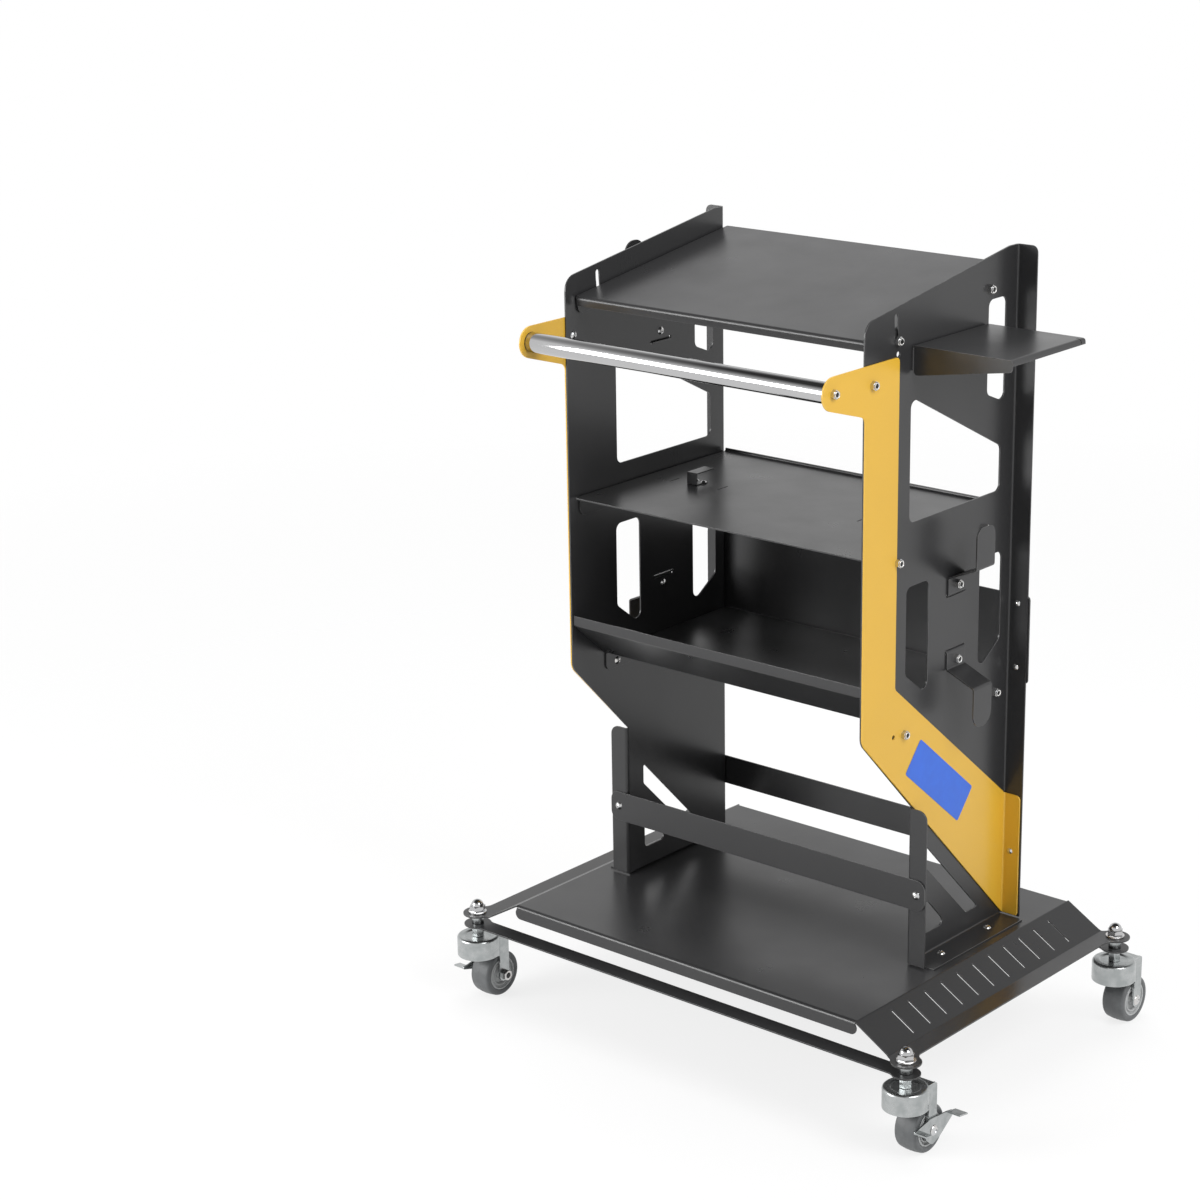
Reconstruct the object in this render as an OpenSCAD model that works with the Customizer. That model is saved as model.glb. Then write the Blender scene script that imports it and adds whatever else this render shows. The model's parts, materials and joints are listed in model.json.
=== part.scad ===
// Tiered rolling cart: two folded side panels on a pressed base with four swivel casters.
// Sizes are in millimetres. X runs across the cart, Y from front to back and Z up from the floor.

/* [Side panels] */
// Clear width between the two side panels
panel_gap = 450; // [380:5:560]
// Depth of a side panel, from its front edge to the back of its rear flange
panel_depth = 309.5; // [280:0.5:380]
// Height of a side panel above the base deck
panel_height = 865.5; // [820:0.5:1050]
// Thickness of every folded sheet
sheet = 2; // [1.5:0.1:2.5]
// Inside radius of a bend
bend = 2.5; // [1.5:0.1:3]
// Rise of the panel's top edge towards the back, in degrees
top_slope = 9; // [4:0.5:12]
// Height of the panel's front edge above the base deck
knee_height = 317; // [290:1:340]
// Setback of the panel's lower front edge
post_setback = 102; // [90:1:120]
// Height of the lower front edge above the base deck
post_height = 211; // [190:1:225]
// Reach of the rear flange outside the web
rear_flange = 27; // [24:0.5:34]
// Reach of the flange on the lower front edge
post_flange = 25; // [22:0.5:32]
// Reach of the flange that stands on the base deck
foot_flange = 35; // [28:0.5:38]
// Radius of the window corners
window_r = 9; // [5:0.5:12]

/* [Covers] */
// Width of the upright part of a cover
cover_width = 65; // [56:1:70]
// Height of the cover's tail where it meets the rear flange
cover_tail = 164; // [140:1:180]
// Distance of the handle in front of the panels
handle_reach = 61.5; // [50:0.5:80]
// Distance of the handle below the top of the panels
handle_drop = 114.5; // [105:0.5:130]
// Outside radius of the ear that holds the handle
ear_r = 20; // [17:0.5:24]
// Outside diameter of the handle tube
handle_d = 25; // [20:0.5:30]
// Wall of the handle tube
handle_wall = 1.5; // [1:0.1:2.5]
// Length of the label on the right cover
label_length = 147; // [60:1:150]
// Width of the label
label_width = 48; // [30:1:55]

/* [Shelves] */
// Height of the middle shelf's top above the base deck
mid_shelf_height = 541.5; // [500:0.5:560]
// Height of the tray's floor above the base deck
tray_height = 325; // [318:0.5:345]
// Depth of the side flanges under a shelf
shelf_flange = 27; // [22:0.5:32]
// Forward reach of the tray's sloping front wall
tray_wall_reach = 58; // [40:1:58]
// Height of the tray's sloping front wall
tray_wall_height = 50; // [35:1:60]
// Height of the upright lip on top of the front wall
tray_lip = 12; // [8:0.5:18]
// Tilt of the top shelf at rest, front edge down, in degrees
shelf_tilt = 8.6; // [4:0.1:9]
// Distance of the shelf's tilt axis in front of the back of the panels
pivot_setback = 60; // [50:0.5:80]
// Distance of the tilt axis below the top of the panels
pivot_drop = 45.7; // [40:0.1:52]
// Distance between the tilt axis and the guide bolts
guide_reach = 189.5; // [170:0.5:200]
// Height of the top shelf's surface above its tilt axis
shelf_rise = 11.4; // [10:0.1:14]
// Depth of the top shelf's front lip
shelf_lip = 12; // [9:0.5:16]
// Width of the side shelf outside the panel
side_shelf_width = 138; // [100:1:160]
// Depth of the side shelf, front to back
side_shelf_depth = 151; // [120:1:170]

/* [Hooks] */
// Width of a hook's strip
hook_width = 38; // [30:0.5:42]
// Gap between the panel and the hook's upright plate
hook_gap = 40; // [30:0.5:60]
// Height of the plate on three of the hooks
hook_plate = 50; // [40:0.5:52]
// Height of the plate on the tall left hook
tall_hook_plate = 84; // [60:0.5:90]

/* [Base] */
// Flat width of the deck beside each panel
deck_margin = 45.7; // [40:0.1:60]
// Width of the sloping side, seen from above
slope_run = 49.3; // [40:0.1:60]
// Drop of the sloping side
slope_drop = 29; // [22:0.5:34]
// Width of the flat strip outside the slope
strip_width = 24; // [20:0.5:30]
// Overhang of the deck in front of the panels
deck_front = 67.3; // [55:0.1:90]
// Overhang of the deck behind the panels
deck_back = 86.4; // [75:0.1:110]
// Depth of the folded lip along the deck's front and back
deck_lip = 18; // [12:0.5:22]
// Number of slots in each sloping side
slot_count = 11; // [5:1:13]
// Spacing of the slots
slot_pitch = 34; // [28:1:36]
// Width of the rails under the deck
rail_width = 25; // [20:0.5:30]
// Length of the spacer tubes between rail and deck
spacer_length = 13; // [9:0.5:20]

/* [Casters] */
// Wheel diameter
wheel_d = 63; // [50:1:63]
// Wheel width at the tread
tread_width = 31; // [26:0.5:31]
// Height of the top of the caster's cup
caster_height = 94; // [94:0.5:110]
// Diameter of the cup
cup_d = 56; // [52:0.5:60]
// Distance of the axle behind the stem
trail = 28.7; // [24:0.1:30]
// Diameter of the threaded stem
stem_d = 12; // [10:0.5:14]
// Height of the hexagon at the foot of the stem
stem_hex = 15; // [11:0.5:20]
// Diameter of the axle bolt
axle_d = 8; // [6:0.5:9]
// Reach of the brake pedal outside its arm
pedal_width = 16; // [10:0.5:20]

/* [Fasteners] */
// Diameter of the bolts in the panels
bolt_d = 6; // [5:0.5:6.5]
// Width of their nuts across the flats
nut_flats = 10; // [9:0.5:11]

/* [Hidden] */
$fn = 48;

// Clearances
running_fit = 0.05;
hole_fit = 0.3;
side_gap = 0.5;
body_gap = 0.4;

// Finishes
charcoal = [0.2, 0.2, 0.21];
yellow = [0.9, 0.68, 0.18];
chrome = [0.85, 0.85, 0.87];
zinc = [0.72, 0.74, 0.75];
steel = [0.62, 0.63, 0.65];
rubber_grey = [0.45, 0.48, 0.5];
hub_grey = [0.65, 0.65, 0.64];
blue = [0.1, 0.3, 0.6];

// Heights, from the floor up
rail_z = caster_height + stem_hex;
ear_z = rail_z + sheet + spacer_length;
deck_z = ear_z + sheet + slope_drop;
panel_top = deck_z + panel_height;
knee_z = deck_z + knee_height;
post_top = deck_z + post_height;
tray_z = deck_z + tray_height;
mid_z = deck_z + mid_shelf_height;
handle_z = panel_top - handle_drop;

// Places across the cart
inner_x = panel_gap / 2;
web_x = inner_x + sheet;
cover_x = web_x + sheet;
flat_x = web_x + deck_margin;
crease_x = flat_x + slope_run;
strip_x = crease_x + strip_width;
stem_inset = 1.4;
stem_x = strip_x - stem_inset;
foot_bolt_x = web_x + 0.4 * foot_flange;
flange_bolt_inset = 14;
flange_bolt_x = inner_x + flange_bolt_inset;

// Places from front to back; y = 0 is the panels' front edge
deck_front_y = -deck_front;
deck_back_y = panel_depth + deck_back;
edge_to_stem = 2.2;
front_stem_y = deck_front_y + edge_to_stem;
back_stem_y = deck_back_y - edge_to_stem;
stem_mid_y = (front_stem_y + back_stem_y) / 2;
wheel_r = wheel_d / 2;
cup_r = cup_d / 2;
plan_centre_y = (front_stem_y - cup_r + back_stem_y + trail + wheel_r) / 2;

// Top shelf: the guide bolts lie a little lower than the tilt axis when the shelf is level
pivot_y = panel_depth - pivot_setback;
pivot_z = panel_top - pivot_drop;
guide_drop = 1.7;
guide_angle = asin(guide_drop / guide_reach);
guide_y = pivot_y - guide_reach * cos(guide_angle + shelf_tilt);
guide_z = pivot_z - guide_reach * sin(guide_angle + shelf_tilt);

// Fastener sizes
bolt_r = bolt_d / 2;
nut_height = 5;
collar_height = 1.4;
bolt_tip = 1;
dome_r = 0.9 * bolt_d;
dome_height = 0.5 * bolt_d;
washer_t = 1.2;
rivet_r = 2;
axle_r = axle_d / 2;
stem_r = stem_d / 2;

// Side shelf
side_shelf_setback = 218.5;
side_shelf_y = panel_depth - side_shelf_setback;
side_shelf_z = panel_top - 85.5;
side_shelf_hem = 7;
side_shelf_web = 30;
side_shelf_bolt_drop = 18;

// Bolt places as [y, z]
shelf_bolt_drop = 16.5;
tray_bolt_drop = 18;
cover_bolt = [13.5, handle_z - 4];
tray_front_bolt = [84, tray_z - tray_bolt_drop];
tray_back_bolt = [panel_depth - 29, tray_z - tray_bolt_drop];
mid_front_bolt = [cover_width + 1.3, mid_z - shelf_bolt_drop];
mid_back_bolt = [panel_depth - 59, mid_z - shelf_bolt_drop];
spare_hole = [cover_width, guide_z - 16];
foot_bolt_y = [post_setback + 51.5, panel_depth - 54.5];
side_shelf_bolt_y = [side_shelf_y + 25, side_shelf_y + side_shelf_depth - 25];

// Crossbars and back panel
front_bar_z = deck_z + 76;
back_bar_z = deck_z + 69;
bar_height = 40;
back_panel_z = tray_z - 10;
back_panel_height = 114;
back_rivet_z = [back_panel_z + 20, back_panel_z + back_panel_height - 11];

// Covers
cover_foot_gap = 3;
cover_toe = 3.5;
cover_foot_z = deck_z + cover_foot_gap;
cover_tail_z = cover_foot_z + cover_tail;
cover_knee_z = tray_z + 43.6;
ear_drop = 39.5;
post_flange_top = cover_low(post_setback + sheet + bend) - 1;

// Handle plugs
plug_length = 22;
plug_rim = 1.5;

// Middle shelf and its bracket
back_gap = 1.5;
mid_front_y = 6;
mid_flange_y = 17;
mid_back_y = panel_depth - sheet - back_gap;
bracket_x = -145;
bracket_y = 143;
bracket_width = 16;
bracket_height = 16;
bracket_depth = 35;
bracket_foot = 20;
bracket_t = 1.5;
bracket_rivet_x = [bracket_x - 6, bracket_x + 6];
bracket_rivet_y = bracket_y + 16;

// Tray
tray_front_y = 62;
tray_back_y = panel_depth - sheet - back_gap;

// Top shelf, in its own level frame about the tilt axis
shelf_half = inner_x - side_gap;
shelf_setback = 15;
shelf_overhang = 3;
shelf_front = -(pivot_y - shelf_setback) / cos(shelf_tilt);
shelf_back = (pivot_setback + shelf_overhang) / cos(shelf_tilt);
top_flange = 25;

// Stems, cups and wheels
stem_washer_t = 2;
acorn_hex = 8;
acorn_dome = 8.2;
acorn_flats = 1.55 * stem_d;
cup_wall = 2.2;
cup_dish = 1.5;
cup_skirt = 27;
leg_t = 2.5;
leg_inner = tread_width / 2 + 1;
leg_half = 9;
lever_t = 2;
head_t = 3;
swivel_ball_r = 2;
stem_top = ear_z + sheet + stem_washer_t + acorn_hex + 3;
stem_head_z = caster_height - cup_dish - cup_wall - 2 * swivel_ball_r - head_t - 0.6;
hub_r = 0.7 * wheel_r;
hub_width = tread_width - 1;

// Hooks: bolt height, place along the panel, and plate height
hook_tab = 23;
hook_arm_rise = 17;
hook_bolt_up = 12;
hook_tongue = 4;
right_hook_y = 191;
right_upper_z = mid_z - 71.5;
right_lower_z = right_upper_z - 95;
left_hook_y = 180;
left_upper_z = panel_top - 141.5;
left_lower_z = right_lower_z + 13;

function unit(v) = v / norm(v);
function left_of(v) = [-v.y, v.x];
function pick(list_or_value, i) = is_list(list_or_value) ? list_or_value[i] : list_or_value;
function reversed(list) = [for (i = [len(list) - 1:-1:0]) list[i]];

// Points of an arc about a centre, both ends included
function arc(centre, r, from, to, steps = 8) =
  [for (i = [0:steps])
    let(angle = from + (to - from) * i / steps) centre + r * [cos(angle), sin(angle)]];

// Arc of radius r that rounds the corner b of a path from a to c
function corner_arc(a, b, c, r) =
  r <= 0 ? [b] : let(
    u = unit(a - b),
    w = unit(c - b),
    half = acos(u * w) / 2,
    centre = b + unit(u + w) * r / sin(half),
    start = b + u * r / tan(half) - centre,
    finish = b + w * r / tan(half) - centre,
    from = atan2(start.y, start.x),
    turn = atan2(finish.y, finish.x) - from,
    sweep = turn > 180 ? turn - 360 : turn < -180 ? turn + 360 : turn
  ) arc(centre, r, from, from + sweep, 7);

// Closed outline with each corner rounded by its own radius
function rounded(points, radii) =
  let(n = len(points))
  [for (i = [0:n - 1])
    each corner_arc(points[(i + n - 1) % n], points[i], points[(i + 1) % n], pick(radii, i))];

function turn_of(a, b, c) = (b.x - a.x) * (c.y - b.y) - (b.y - a.y) * (c.x - b.x);
function mitre(a, b, c) =
  let(m = left_of(unit(b - a)), n = left_of(unit(c - b))) (m + n) / (1 + m * n);

// Far side of a sheet that lies to the left of a path
function far_side(path, t) =
  let(last = len(path) - 1)
  [for (i = [0:last])
    i == 0 ? path[0] + t * left_of(unit(path[1] - path[0])) :
    i == last ? path[last] + t * left_of(unit(path[last] - path[last - 1])) :
    path[i] + t * mitre(path[i - 1], path[i], path[i + 1])];

function bend_radii(path, inside, outside) =
  let(last = len(path) - 1)
  [for (i = [0:last]) i == 0 || i == last ? 0 :
    turn_of(path[i - 1], path[i], path[i + 1]) > 0 ? outside : inside];

// Section of a bent sheet of thickness t whose inside bends have radius r
function folded(path, t = sheet, r = bend) =
  rounded(
    concat(path, reversed(far_side(path, t))),
    concat(bend_radii(path, r, r + t), reversed(bend_radii(path, r + t, r)))
  );

module cart() {
  translate([0, -plan_centre_y, 0]) children();
}

module on_side(side) {
  mirror([side < 0 ? 1 : 0, 0, 0]) children();
}

// Extrusions of drawings made as (y, z), (x, z) and (x, y)
module along_x(x, length) {
  translate([x, 0, 0]) rotate([90, 0, 90]) linear_extrude(length) children();
}

module along_y(y, length) {
  translate([0, y + length, 0]) rotate([90, 0, 0]) linear_extrude(length) children();
}

module along_z(z, length) {
  translate([0, 0, z]) linear_extrude(length) children();
}

module rod_x(x, y, z, r, length) {
  translate([x, y, z]) rotate([0, 90, 0]) cylinder(r = r, h = length);
}

module rod_y(x, y, z, r, length) {
  translate([x, y, z]) rotate([-90, 0, 0]) cylinder(r = r, h = length);
}

// Holes through a web, a shelf flange and a cover, at both sides
module side_holes(place, r) {
  reach = 8 * sheet;
  for (side = [-1, 1])
    rod_x(side * inner_x - reach / 2, place[0], place[1], r, reach);
}

module dome(r, height) {
  ball_r = (r * r + height * height) / (2 * height);
  intersection() {
    translate([0, 0, height - ball_r]) sphere(r = ball_r);
    cylinder(r = r + 1, h = height + 1);
  }
}

module hexagon_prism(flats, height) {
  cylinder(d = flats / cos(30), h = height, $fn = 6);
}

module nyloc(r) {
  difference() {
    union() {
      hexagon_prism(nut_flats, nut_height);
      cylinder(r = 0.45 * nut_flats, h = nut_height + collar_height);
    }
    translate([0, 0, -1]) cylinder(r = r + running_fit, h = nut_height + collar_height + 2);
  }
}

// Bolt along +Z with its head below z = 0, and a nut seated at the end of its grip
module bolt_and_nut(grip, r = bolt_r) {
  union() {
    mirror([0, 0, 1]) dome(dome_r, dome_height);
    cylinder(r = r, h = grip + nut_height + bolt_tip);
  }
  translate([0, 0, grip]) nyloc(r);
}

// Bolt from inside the cart outwards; head and nut are given as distances from the web's inner face
module side_bolt(place, inside, outside) {
  translate([inner_x - inside, place[0], place[1]]) rotate([0, 90, 0]) bolt_and_nut(inside + outside);
}

module rivet(grip) {
  union() {
    mirror([0, 0, 1]) dome(2 * rivet_r, rivet_r);
    cylinder(r = rivet_r, h = grip);
    translate([0, 0, grip]) dome(1.6 * rivet_r, 0.8 * rivet_r);
  }
}

// Side panels

// Front top corner, top corner, rear corners, lower front edge and knee, as (y, z)
function panel_outline() =
  let(
    level = 19.5,
    front_top = panel_top - (panel_depth - level) * tan(top_slope)
  )
  rounded(
    [[0, front_top], [panel_depth - level, panel_top], [panel_depth - sheet - bend, panel_top],
     [panel_depth - sheet - bend, deck_z + sheet + bend], [post_setback + sheet + bend, deck_z + sheet + bend],
     [post_setback + sheet + bend, post_top - sheet - bend], [post_setback, post_top], [0, knee_z]],
    [20, 0, 0, 0, 0, 0, 0, 20]
  );

module window(points) {
  along_x(inner_x - sheet, 3 * sheet) polygon(rounded(points, window_r));
}

module panel_windows() {
  back = panel_depth;
  large_front = 91.5;
  large_back = back - 30;
  large_low = mid_z + 25.5;
  window([[large_front, large_low], [large_back, large_low],
          [large_back, panel_top - 242.5], [large_front, panel_top - 146.5]]);

  tall_front = 88;
  tall_back = 134;
  tall_high = mid_z - 53;
  window([
    [tall_front, tray_z + 54.5], [tall_back, tray_z + 19], [tall_back, tall_high], [tall_front, tall_high]]);

  rear_front = back - 68.5;
  rear_back = back - 21.5;
  window([[rear_front, tray_z + 20], [rear_back, tray_z + 51], [rear_back, tall_high], [rear_front, tall_high]]);

  upper_front = back - 61.5;
  upper_back = back - 24.5;
  upper_high = panel_top - 59;
  window([[upper_front, panel_top - 173.5], [upper_back, panel_top - 188.5],
          [upper_back, upper_high], [upper_front, upper_high]]);

  strip_front = post_setback + 33;
  strip_low = deck_z + 28;
  along_x(inner_x - sheet, 3 * sheet) polygon(rounded(
    [[strip_front, deck_z + 149], [strip_front, deck_z + 121], [back - 82, strip_low], [back - 56, strip_low]],
    [2, 6, 6, 2]));

  corner_front = post_setback + 34;
  corner_low = deck_z + 29.5;
  along_x(inner_x - sheet, 3 * sheet) polygon(rounded(
    [[corner_front, deck_z + 80], [corner_front, corner_low], [post_setback + 81, corner_low]], 6));
}

// Curved slot for a guide bolt, swept about the tilt axis
module guide_slot() {
  half_width = bolt_r + hole_fit;
  low = 180 + guide_angle + shelf_tilt;
  high = 180 + guide_angle;
  centre = [pivot_y, pivot_z];
  along_x(inner_x - sheet, 3 * sheet) polygon(concat(
    arc(centre, guide_reach + half_width, low, high),
    arc(arc(centre, guide_reach, high, high)[0], half_width, high, high - 180),
    arc(centre, guide_reach - half_width, high, low),
    arc(arc(centre, guide_reach, low, low)[0], half_width, low + 180, low)));
}

module hook_slit(y, z, upwards) {
  tongue_z = z - upwards * hook_bolt_up;
  low = upwards > 0 ? -sheet - hole_fit : -bend - hole_fit;
  translate([inner_x - sheet, y - hook_width / 2 - 1, tongue_z + low])
    cube([3 * sheet, hook_width + 2, sheet + bend + 2 * hole_fit]);
}

module side_panel(side) {
  hooks = side > 0 ?
    [[right_hook_y, right_upper_z, 1], [right_hook_y, right_lower_z, -1]] :
    [[left_hook_y, left_upper_z, 1], [left_hook_y, left_lower_z, -1]];
  color(charcoal) cart() on_side(side) difference() {
    union() {
      along_x(inner_x, sheet) polygon(panel_outline());
      intersection() {
        along_z(deck_z + sheet, panel_height - sheet)
          polygon(folded(
            [[web_x + rear_flange, panel_depth], [inner_x, panel_depth], [inner_x, panel_depth - 15]]));
        along_y(panel_depth - 16, 20) polygon(rounded(
          [[inner_x - 1, deck_z], [web_x + rear_flange, deck_z], [web_x + rear_flange, panel_top],
           [inner_x - 1, panel_top]], [0, 3, 8, 0]));
      }
      intersection() {
        along_z(deck_z + sheet, post_height)
          polygon(folded(
            [[inner_x, post_setback + 15], [inner_x, post_setback], [web_x + post_flange, post_setback]]));
        along_y(post_setback - 1, 20) polygon(rounded(
          [[inner_x - 1, deck_z], [web_x + post_flange, deck_z], [web_x + post_flange, post_flange_top],
           [inner_x - 1, post_flange_top]], [0, 3, 12, 0]));
      }
      along_y(post_setback + 3 * sheet, panel_depth - post_setback - 6 * sheet)
        polygon(folded([[inner_x, deck_z + 15], [inner_x, deck_z], [web_x + foot_flange, deck_z]]));
    }
    panel_windows();
    guide_slot();
    for (place = [
      cover_bolt, tray_front_bolt, tray_back_bolt, mid_front_bolt, mid_back_bolt, [pivot_y, pivot_z]])
      side_holes(place, bolt_r + hole_fit);
    side_holes(spare_hole, bolt_r + hole_fit);
    for (hook = hooks) {
      side_holes([hook[0], hook[1]], bolt_r + hole_fit);
      hook_slit(hook[0], hook[1], hook[2]);
    }
    if (side > 0)
      for (y = side_shelf_bolt_y)
        side_holes([y, side_shelf_z - side_shelf_bolt_drop], bolt_r + hole_fit);
    for (y = foot_bolt_y)
      translate([foot_bolt_x, y, deck_z - 1]) cylinder(r = bolt_r + hole_fit, h = sheet + 2);
    for (z = back_rivet_z)
      rod_y(flange_bolt_x, panel_depth - 2 * sheet, z, rivet_r + hole_fit, 3 * sheet);
    rod_y(flange_bolt_x, panel_depth - 2 * sheet, back_bar_z + bar_height / 2, rivet_r + hole_fit, 3 * sheet);
    rod_y(flange_bolt_x, post_setback - sheet, front_bar_z + bar_height / 2, bolt_r + hole_fit, 3 * sheet);
  }
}

module left_side_panel() {
  side_panel(-1);
}

module right_side_panel() {
  side_panel(1);
}

// Covers, one on the outside of each panel, which end in the handle's ears

// Height of a cover's lower and upper edge at distance y behind the panel's front edge
function cover_low(y) = knee_z - (knee_z - cover_foot_z) * y / (panel_depth - cover_toe);
function cover_high(y) =
  let(end = panel_depth - cover_toe - 1)
  cover_tail_z + (end - y) * (cover_knee_z - cover_tail_z) / (end - cover_width);

function cover_outline() =
  let(
    ear = [-handle_reach, handle_z],
    notch = [0, handle_z - ear_drop],
    span = notch - ear,
    touch = atan2(span.y, span.x) - acos(ear_r / norm(span)),
    end_y = panel_depth - 2 * sheet - bend,
    elbow = [cover_width, cover_high(cover_width)],
    shoulder = [cover_width, handle_z + ear_r]
  )
  concat(
    arc(ear, ear_r, 90, 360 + touch, 16),
    corner_arc(ear + ear_r * [cos(touch), sin(touch)], notch, [0, knee_z], 10),
    corner_arc(notch, [0, knee_z], [end_y, cover_low(end_y)], 20),
    [[end_y, cover_low(end_y)], [end_y, cover_high(end_y)]],
    corner_arc([end_y, cover_high(end_y)], elbow, shoulder, 8),
    corner_arc(elbow, shoulder, [0, handle_z + ear_r], 6)
  );

module cover(side) {
  wrap_y = panel_depth - sheet;
  color(yellow) cart() on_side(side) difference() {
    union() {
      along_x(web_x, sheet) polygon(cover_outline());
      intersection() {
        along_z(cover_foot_z, cover_tail)
          polygon(folded([[web_x + rear_flange - 2, wrap_y], [web_x, wrap_y], [web_x, wrap_y - 12]]));
        along_x(web_x - 1, rear_flange + 2) polygon(
          [[wrap_y - 12, cover_low(wrap_y - 12)], [wrap_y + 1, cover_low(wrap_y + 1)],
           [wrap_y + 1, cover_high(wrap_y + 1)], [wrap_y - 12, cover_high(wrap_y - 12)]]);
        along_y(wrap_y - 13, 15) polygon(rounded(
          [[web_x - 1, deck_z], [web_x + rear_flange - 2, deck_z],
           [web_x + rear_flange - 2, cover_tail_z], [web_x - 1, cover_tail_z]], [0, 8, 8, 0]));
      }
    }
    side_holes(cover_bolt, bolt_r + hole_fit);
    side_holes(tray_front_bolt, bolt_r + hole_fit);
    side_holes(mid_front_bolt, bolt_r + hole_fit);
    side_holes([tray_front_bolt[0] - 21, tray_front_bolt[1] + 2], bolt_r);
    side_holes([-handle_reach, handle_z], bolt_r + hole_fit);
    rod_y(flange_bolt_x, wrap_y - 2 * sheet, back_bar_z + bar_height / 2, rivet_r + hole_fit, 3 * sheet);
  }
}

module left_cover() {
  cover(-1);
}

module right_cover() {
  cover(1);
}

module label_plate() {
  label_t = 0.5;
  label_y = 160;
  label_rise = 5;
  label_z = (cover_low(label_y) + cover_high(label_y)) / 2 + label_rise;
  slope = atan2(cover_high(0) - cover_high(label_y), label_y);
  color(blue) cart() along_x(cover_x, label_t)
    translate([label_y, label_z]) rotate(-slope) polygon(rounded(
      [[-label_length / 2, -label_width / 2], [label_length / 2, -label_width / 2],
       [label_length / 2, label_width / 2], [-label_length / 2, label_width / 2]], 3));
}

// Handle between the covers' ears

module handle_tube() {
  color(chrome) cart() difference() {
    rod_x(-web_x + plug_rim, -handle_reach, handle_z, handle_d / 2, 2 * (web_x - plug_rim));
    rod_x(-web_x, -handle_reach, handle_z, handle_d / 2 - handle_wall, 2 * web_x);
  }
}

module handle_plugs() {
  color([0.12, 0.12, 0.12]) cart() for (side = [-1, 1]) on_side(side) difference() {
    union() {
      rod_x(web_x - plug_rim, -handle_reach, handle_z, handle_d / 2, plug_rim);
      rod_x(web_x - plug_length, -handle_reach, handle_z, handle_d / 2 - handle_wall - running_fit, plug_length);
    }
    rod_x(web_x - plug_length - 1, -handle_reach, handle_z, bolt_r + running_fit, plug_length + 2);
  }
}

module handle_fasteners() {
  color(steel) cart() for (side = [-1, 1]) on_side(side)
    translate([web_x - plug_length, -handle_reach, handle_z])
      rotate([0, 90, 0]) bolt_and_nut(plug_length + sheet);
}

// Shelves

// Sheet across the cart with a flange down at each side; its outline from the side trims the flanges
module channel(half_width, top, flange, front, back, front_radius) {
  intersection() {
    along_y(front, back - front)
      polygon(folded(
        [[half_width, top - flange], [half_width, top], [-half_width, top], [-half_width, top - flange]]));
    along_x(-half_width - 1, 2 * half_width + 2) polygon(rounded(
      [[front, top - flange], [back, top - flange], [back, top + 1], [front, top + 1]],
      [front_radius, 3, 0, 0]));
  }
}

module mid_shelf() {
  hem = 4;
  wide = inner_x - sheet - bend;
  slit_width = 2;
  // Middle, front end and length of each slit
  slits = [[-179, 140, 19], [-133.5, 147, 12], [-105, 144, 21], [120, 135, 11]];
  color(charcoal) cart() difference() {
    union() {
      channel(inner_x, mid_z, shelf_flange, mid_flange_y, mid_back_y, 12);
      along_x(-wide, 2 * wide) polygon(folded(
        [[mid_front_y, mid_z - sheet], [mid_back_y, mid_z - sheet], [mid_back_y, mid_z + hem]]));
    }
    side_holes(mid_front_bolt, bolt_r + hole_fit);
    side_holes(mid_back_bolt, bolt_r + hole_fit);
    for (slit = slits)
      translate([slit[0] - slit_width / 2, slit[1], mid_z - 2 * sheet]) cube([slit_width, slit[2], 3 * sheet]);
    for (x = bracket_rivet_x)
      translate([x, bracket_rivet_y, mid_z - 2 * sheet]) cylinder(r = rivet_r + hole_fit, h = 3 * sheet);
  }
}

// Small stop bent from strip: a foot on the shelf, a face and a flange at the top
module mid_shelf_bracket() {
  color([0.12, 0.12, 0.12]) cart() difference() {
    along_x(bracket_x - bracket_width / 2, bracket_width) polygon(folded(
      [[bracket_y + bracket_foot + bracket_t, mid_z], [bracket_y, mid_z], [bracket_y, mid_z + bracket_height],
       [bracket_y + bracket_depth, mid_z + bracket_height]], -bracket_t, 1));
    for (x = bracket_rivet_x)
      translate([x, bracket_rivet_y, mid_z - 1]) cylinder(r = rivet_r + hole_fit, h = bracket_t + 2);
  }
}

module lower_tray() {
  wide = inner_x - side_gap;
  front_y = tray_front_y - tray_wall_reach;
  rim_z = tray_z + tray_wall_height;
  color(charcoal) cart() difference() {
    union() {
      channel(inner_x, tray_z, shelf_flange, tray_front_y, tray_back_y, 8);
      along_x(-wide, 2 * wide) polygon(folded(
        [[tray_front_y + 40, tray_z], [tray_front_y, tray_z], [front_y, rim_z], [front_y, rim_z + tray_lip]]));
    }
    side_holes(tray_front_bolt, bolt_r + hole_fit);
    side_holes(tray_back_bolt, bolt_r + hole_fit);
  }
}

// Rounded rectangle behind or in front of the flanges, with its holes
module cross_plate(y, z, height, half_width, corner, holes, r) {
  color(charcoal) cart() difference() {
    along_y(y, sheet) polygon(rounded(
      [[-half_width, z], [half_width, z], [half_width, z + height], [-half_width, z + height]], corner));
    for (hole = holes, side = [-1, 1])
      rod_y(side * flange_bolt_x, y - 1, hole, r + hole_fit, sheet + 2);
  }
}

module lower_back_panel() {
  cross_plate(
    panel_depth, back_panel_z, back_panel_height, web_x + rear_flange + 2, 5, back_rivet_z, rivet_r);
}

module front_crossbar() {
  cross_plate(
    post_setback - sheet, front_bar_z, bar_height, web_x + post_flange, 12,
    [front_bar_z + bar_height / 2], bolt_r);
}

module rear_crossbar() {
  cross_plate(
    panel_depth, back_bar_z, bar_height, web_x + rear_flange - 2, 12,
    [back_bar_z + bar_height / 2], rivet_r);
}

// Top shelf, drawn level about its tilt axis and then tilted

module on_top_shelf() {
  translate([0, pivot_y, pivot_z]) rotate([shelf_tilt, 0, 0]) children();
}

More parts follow.
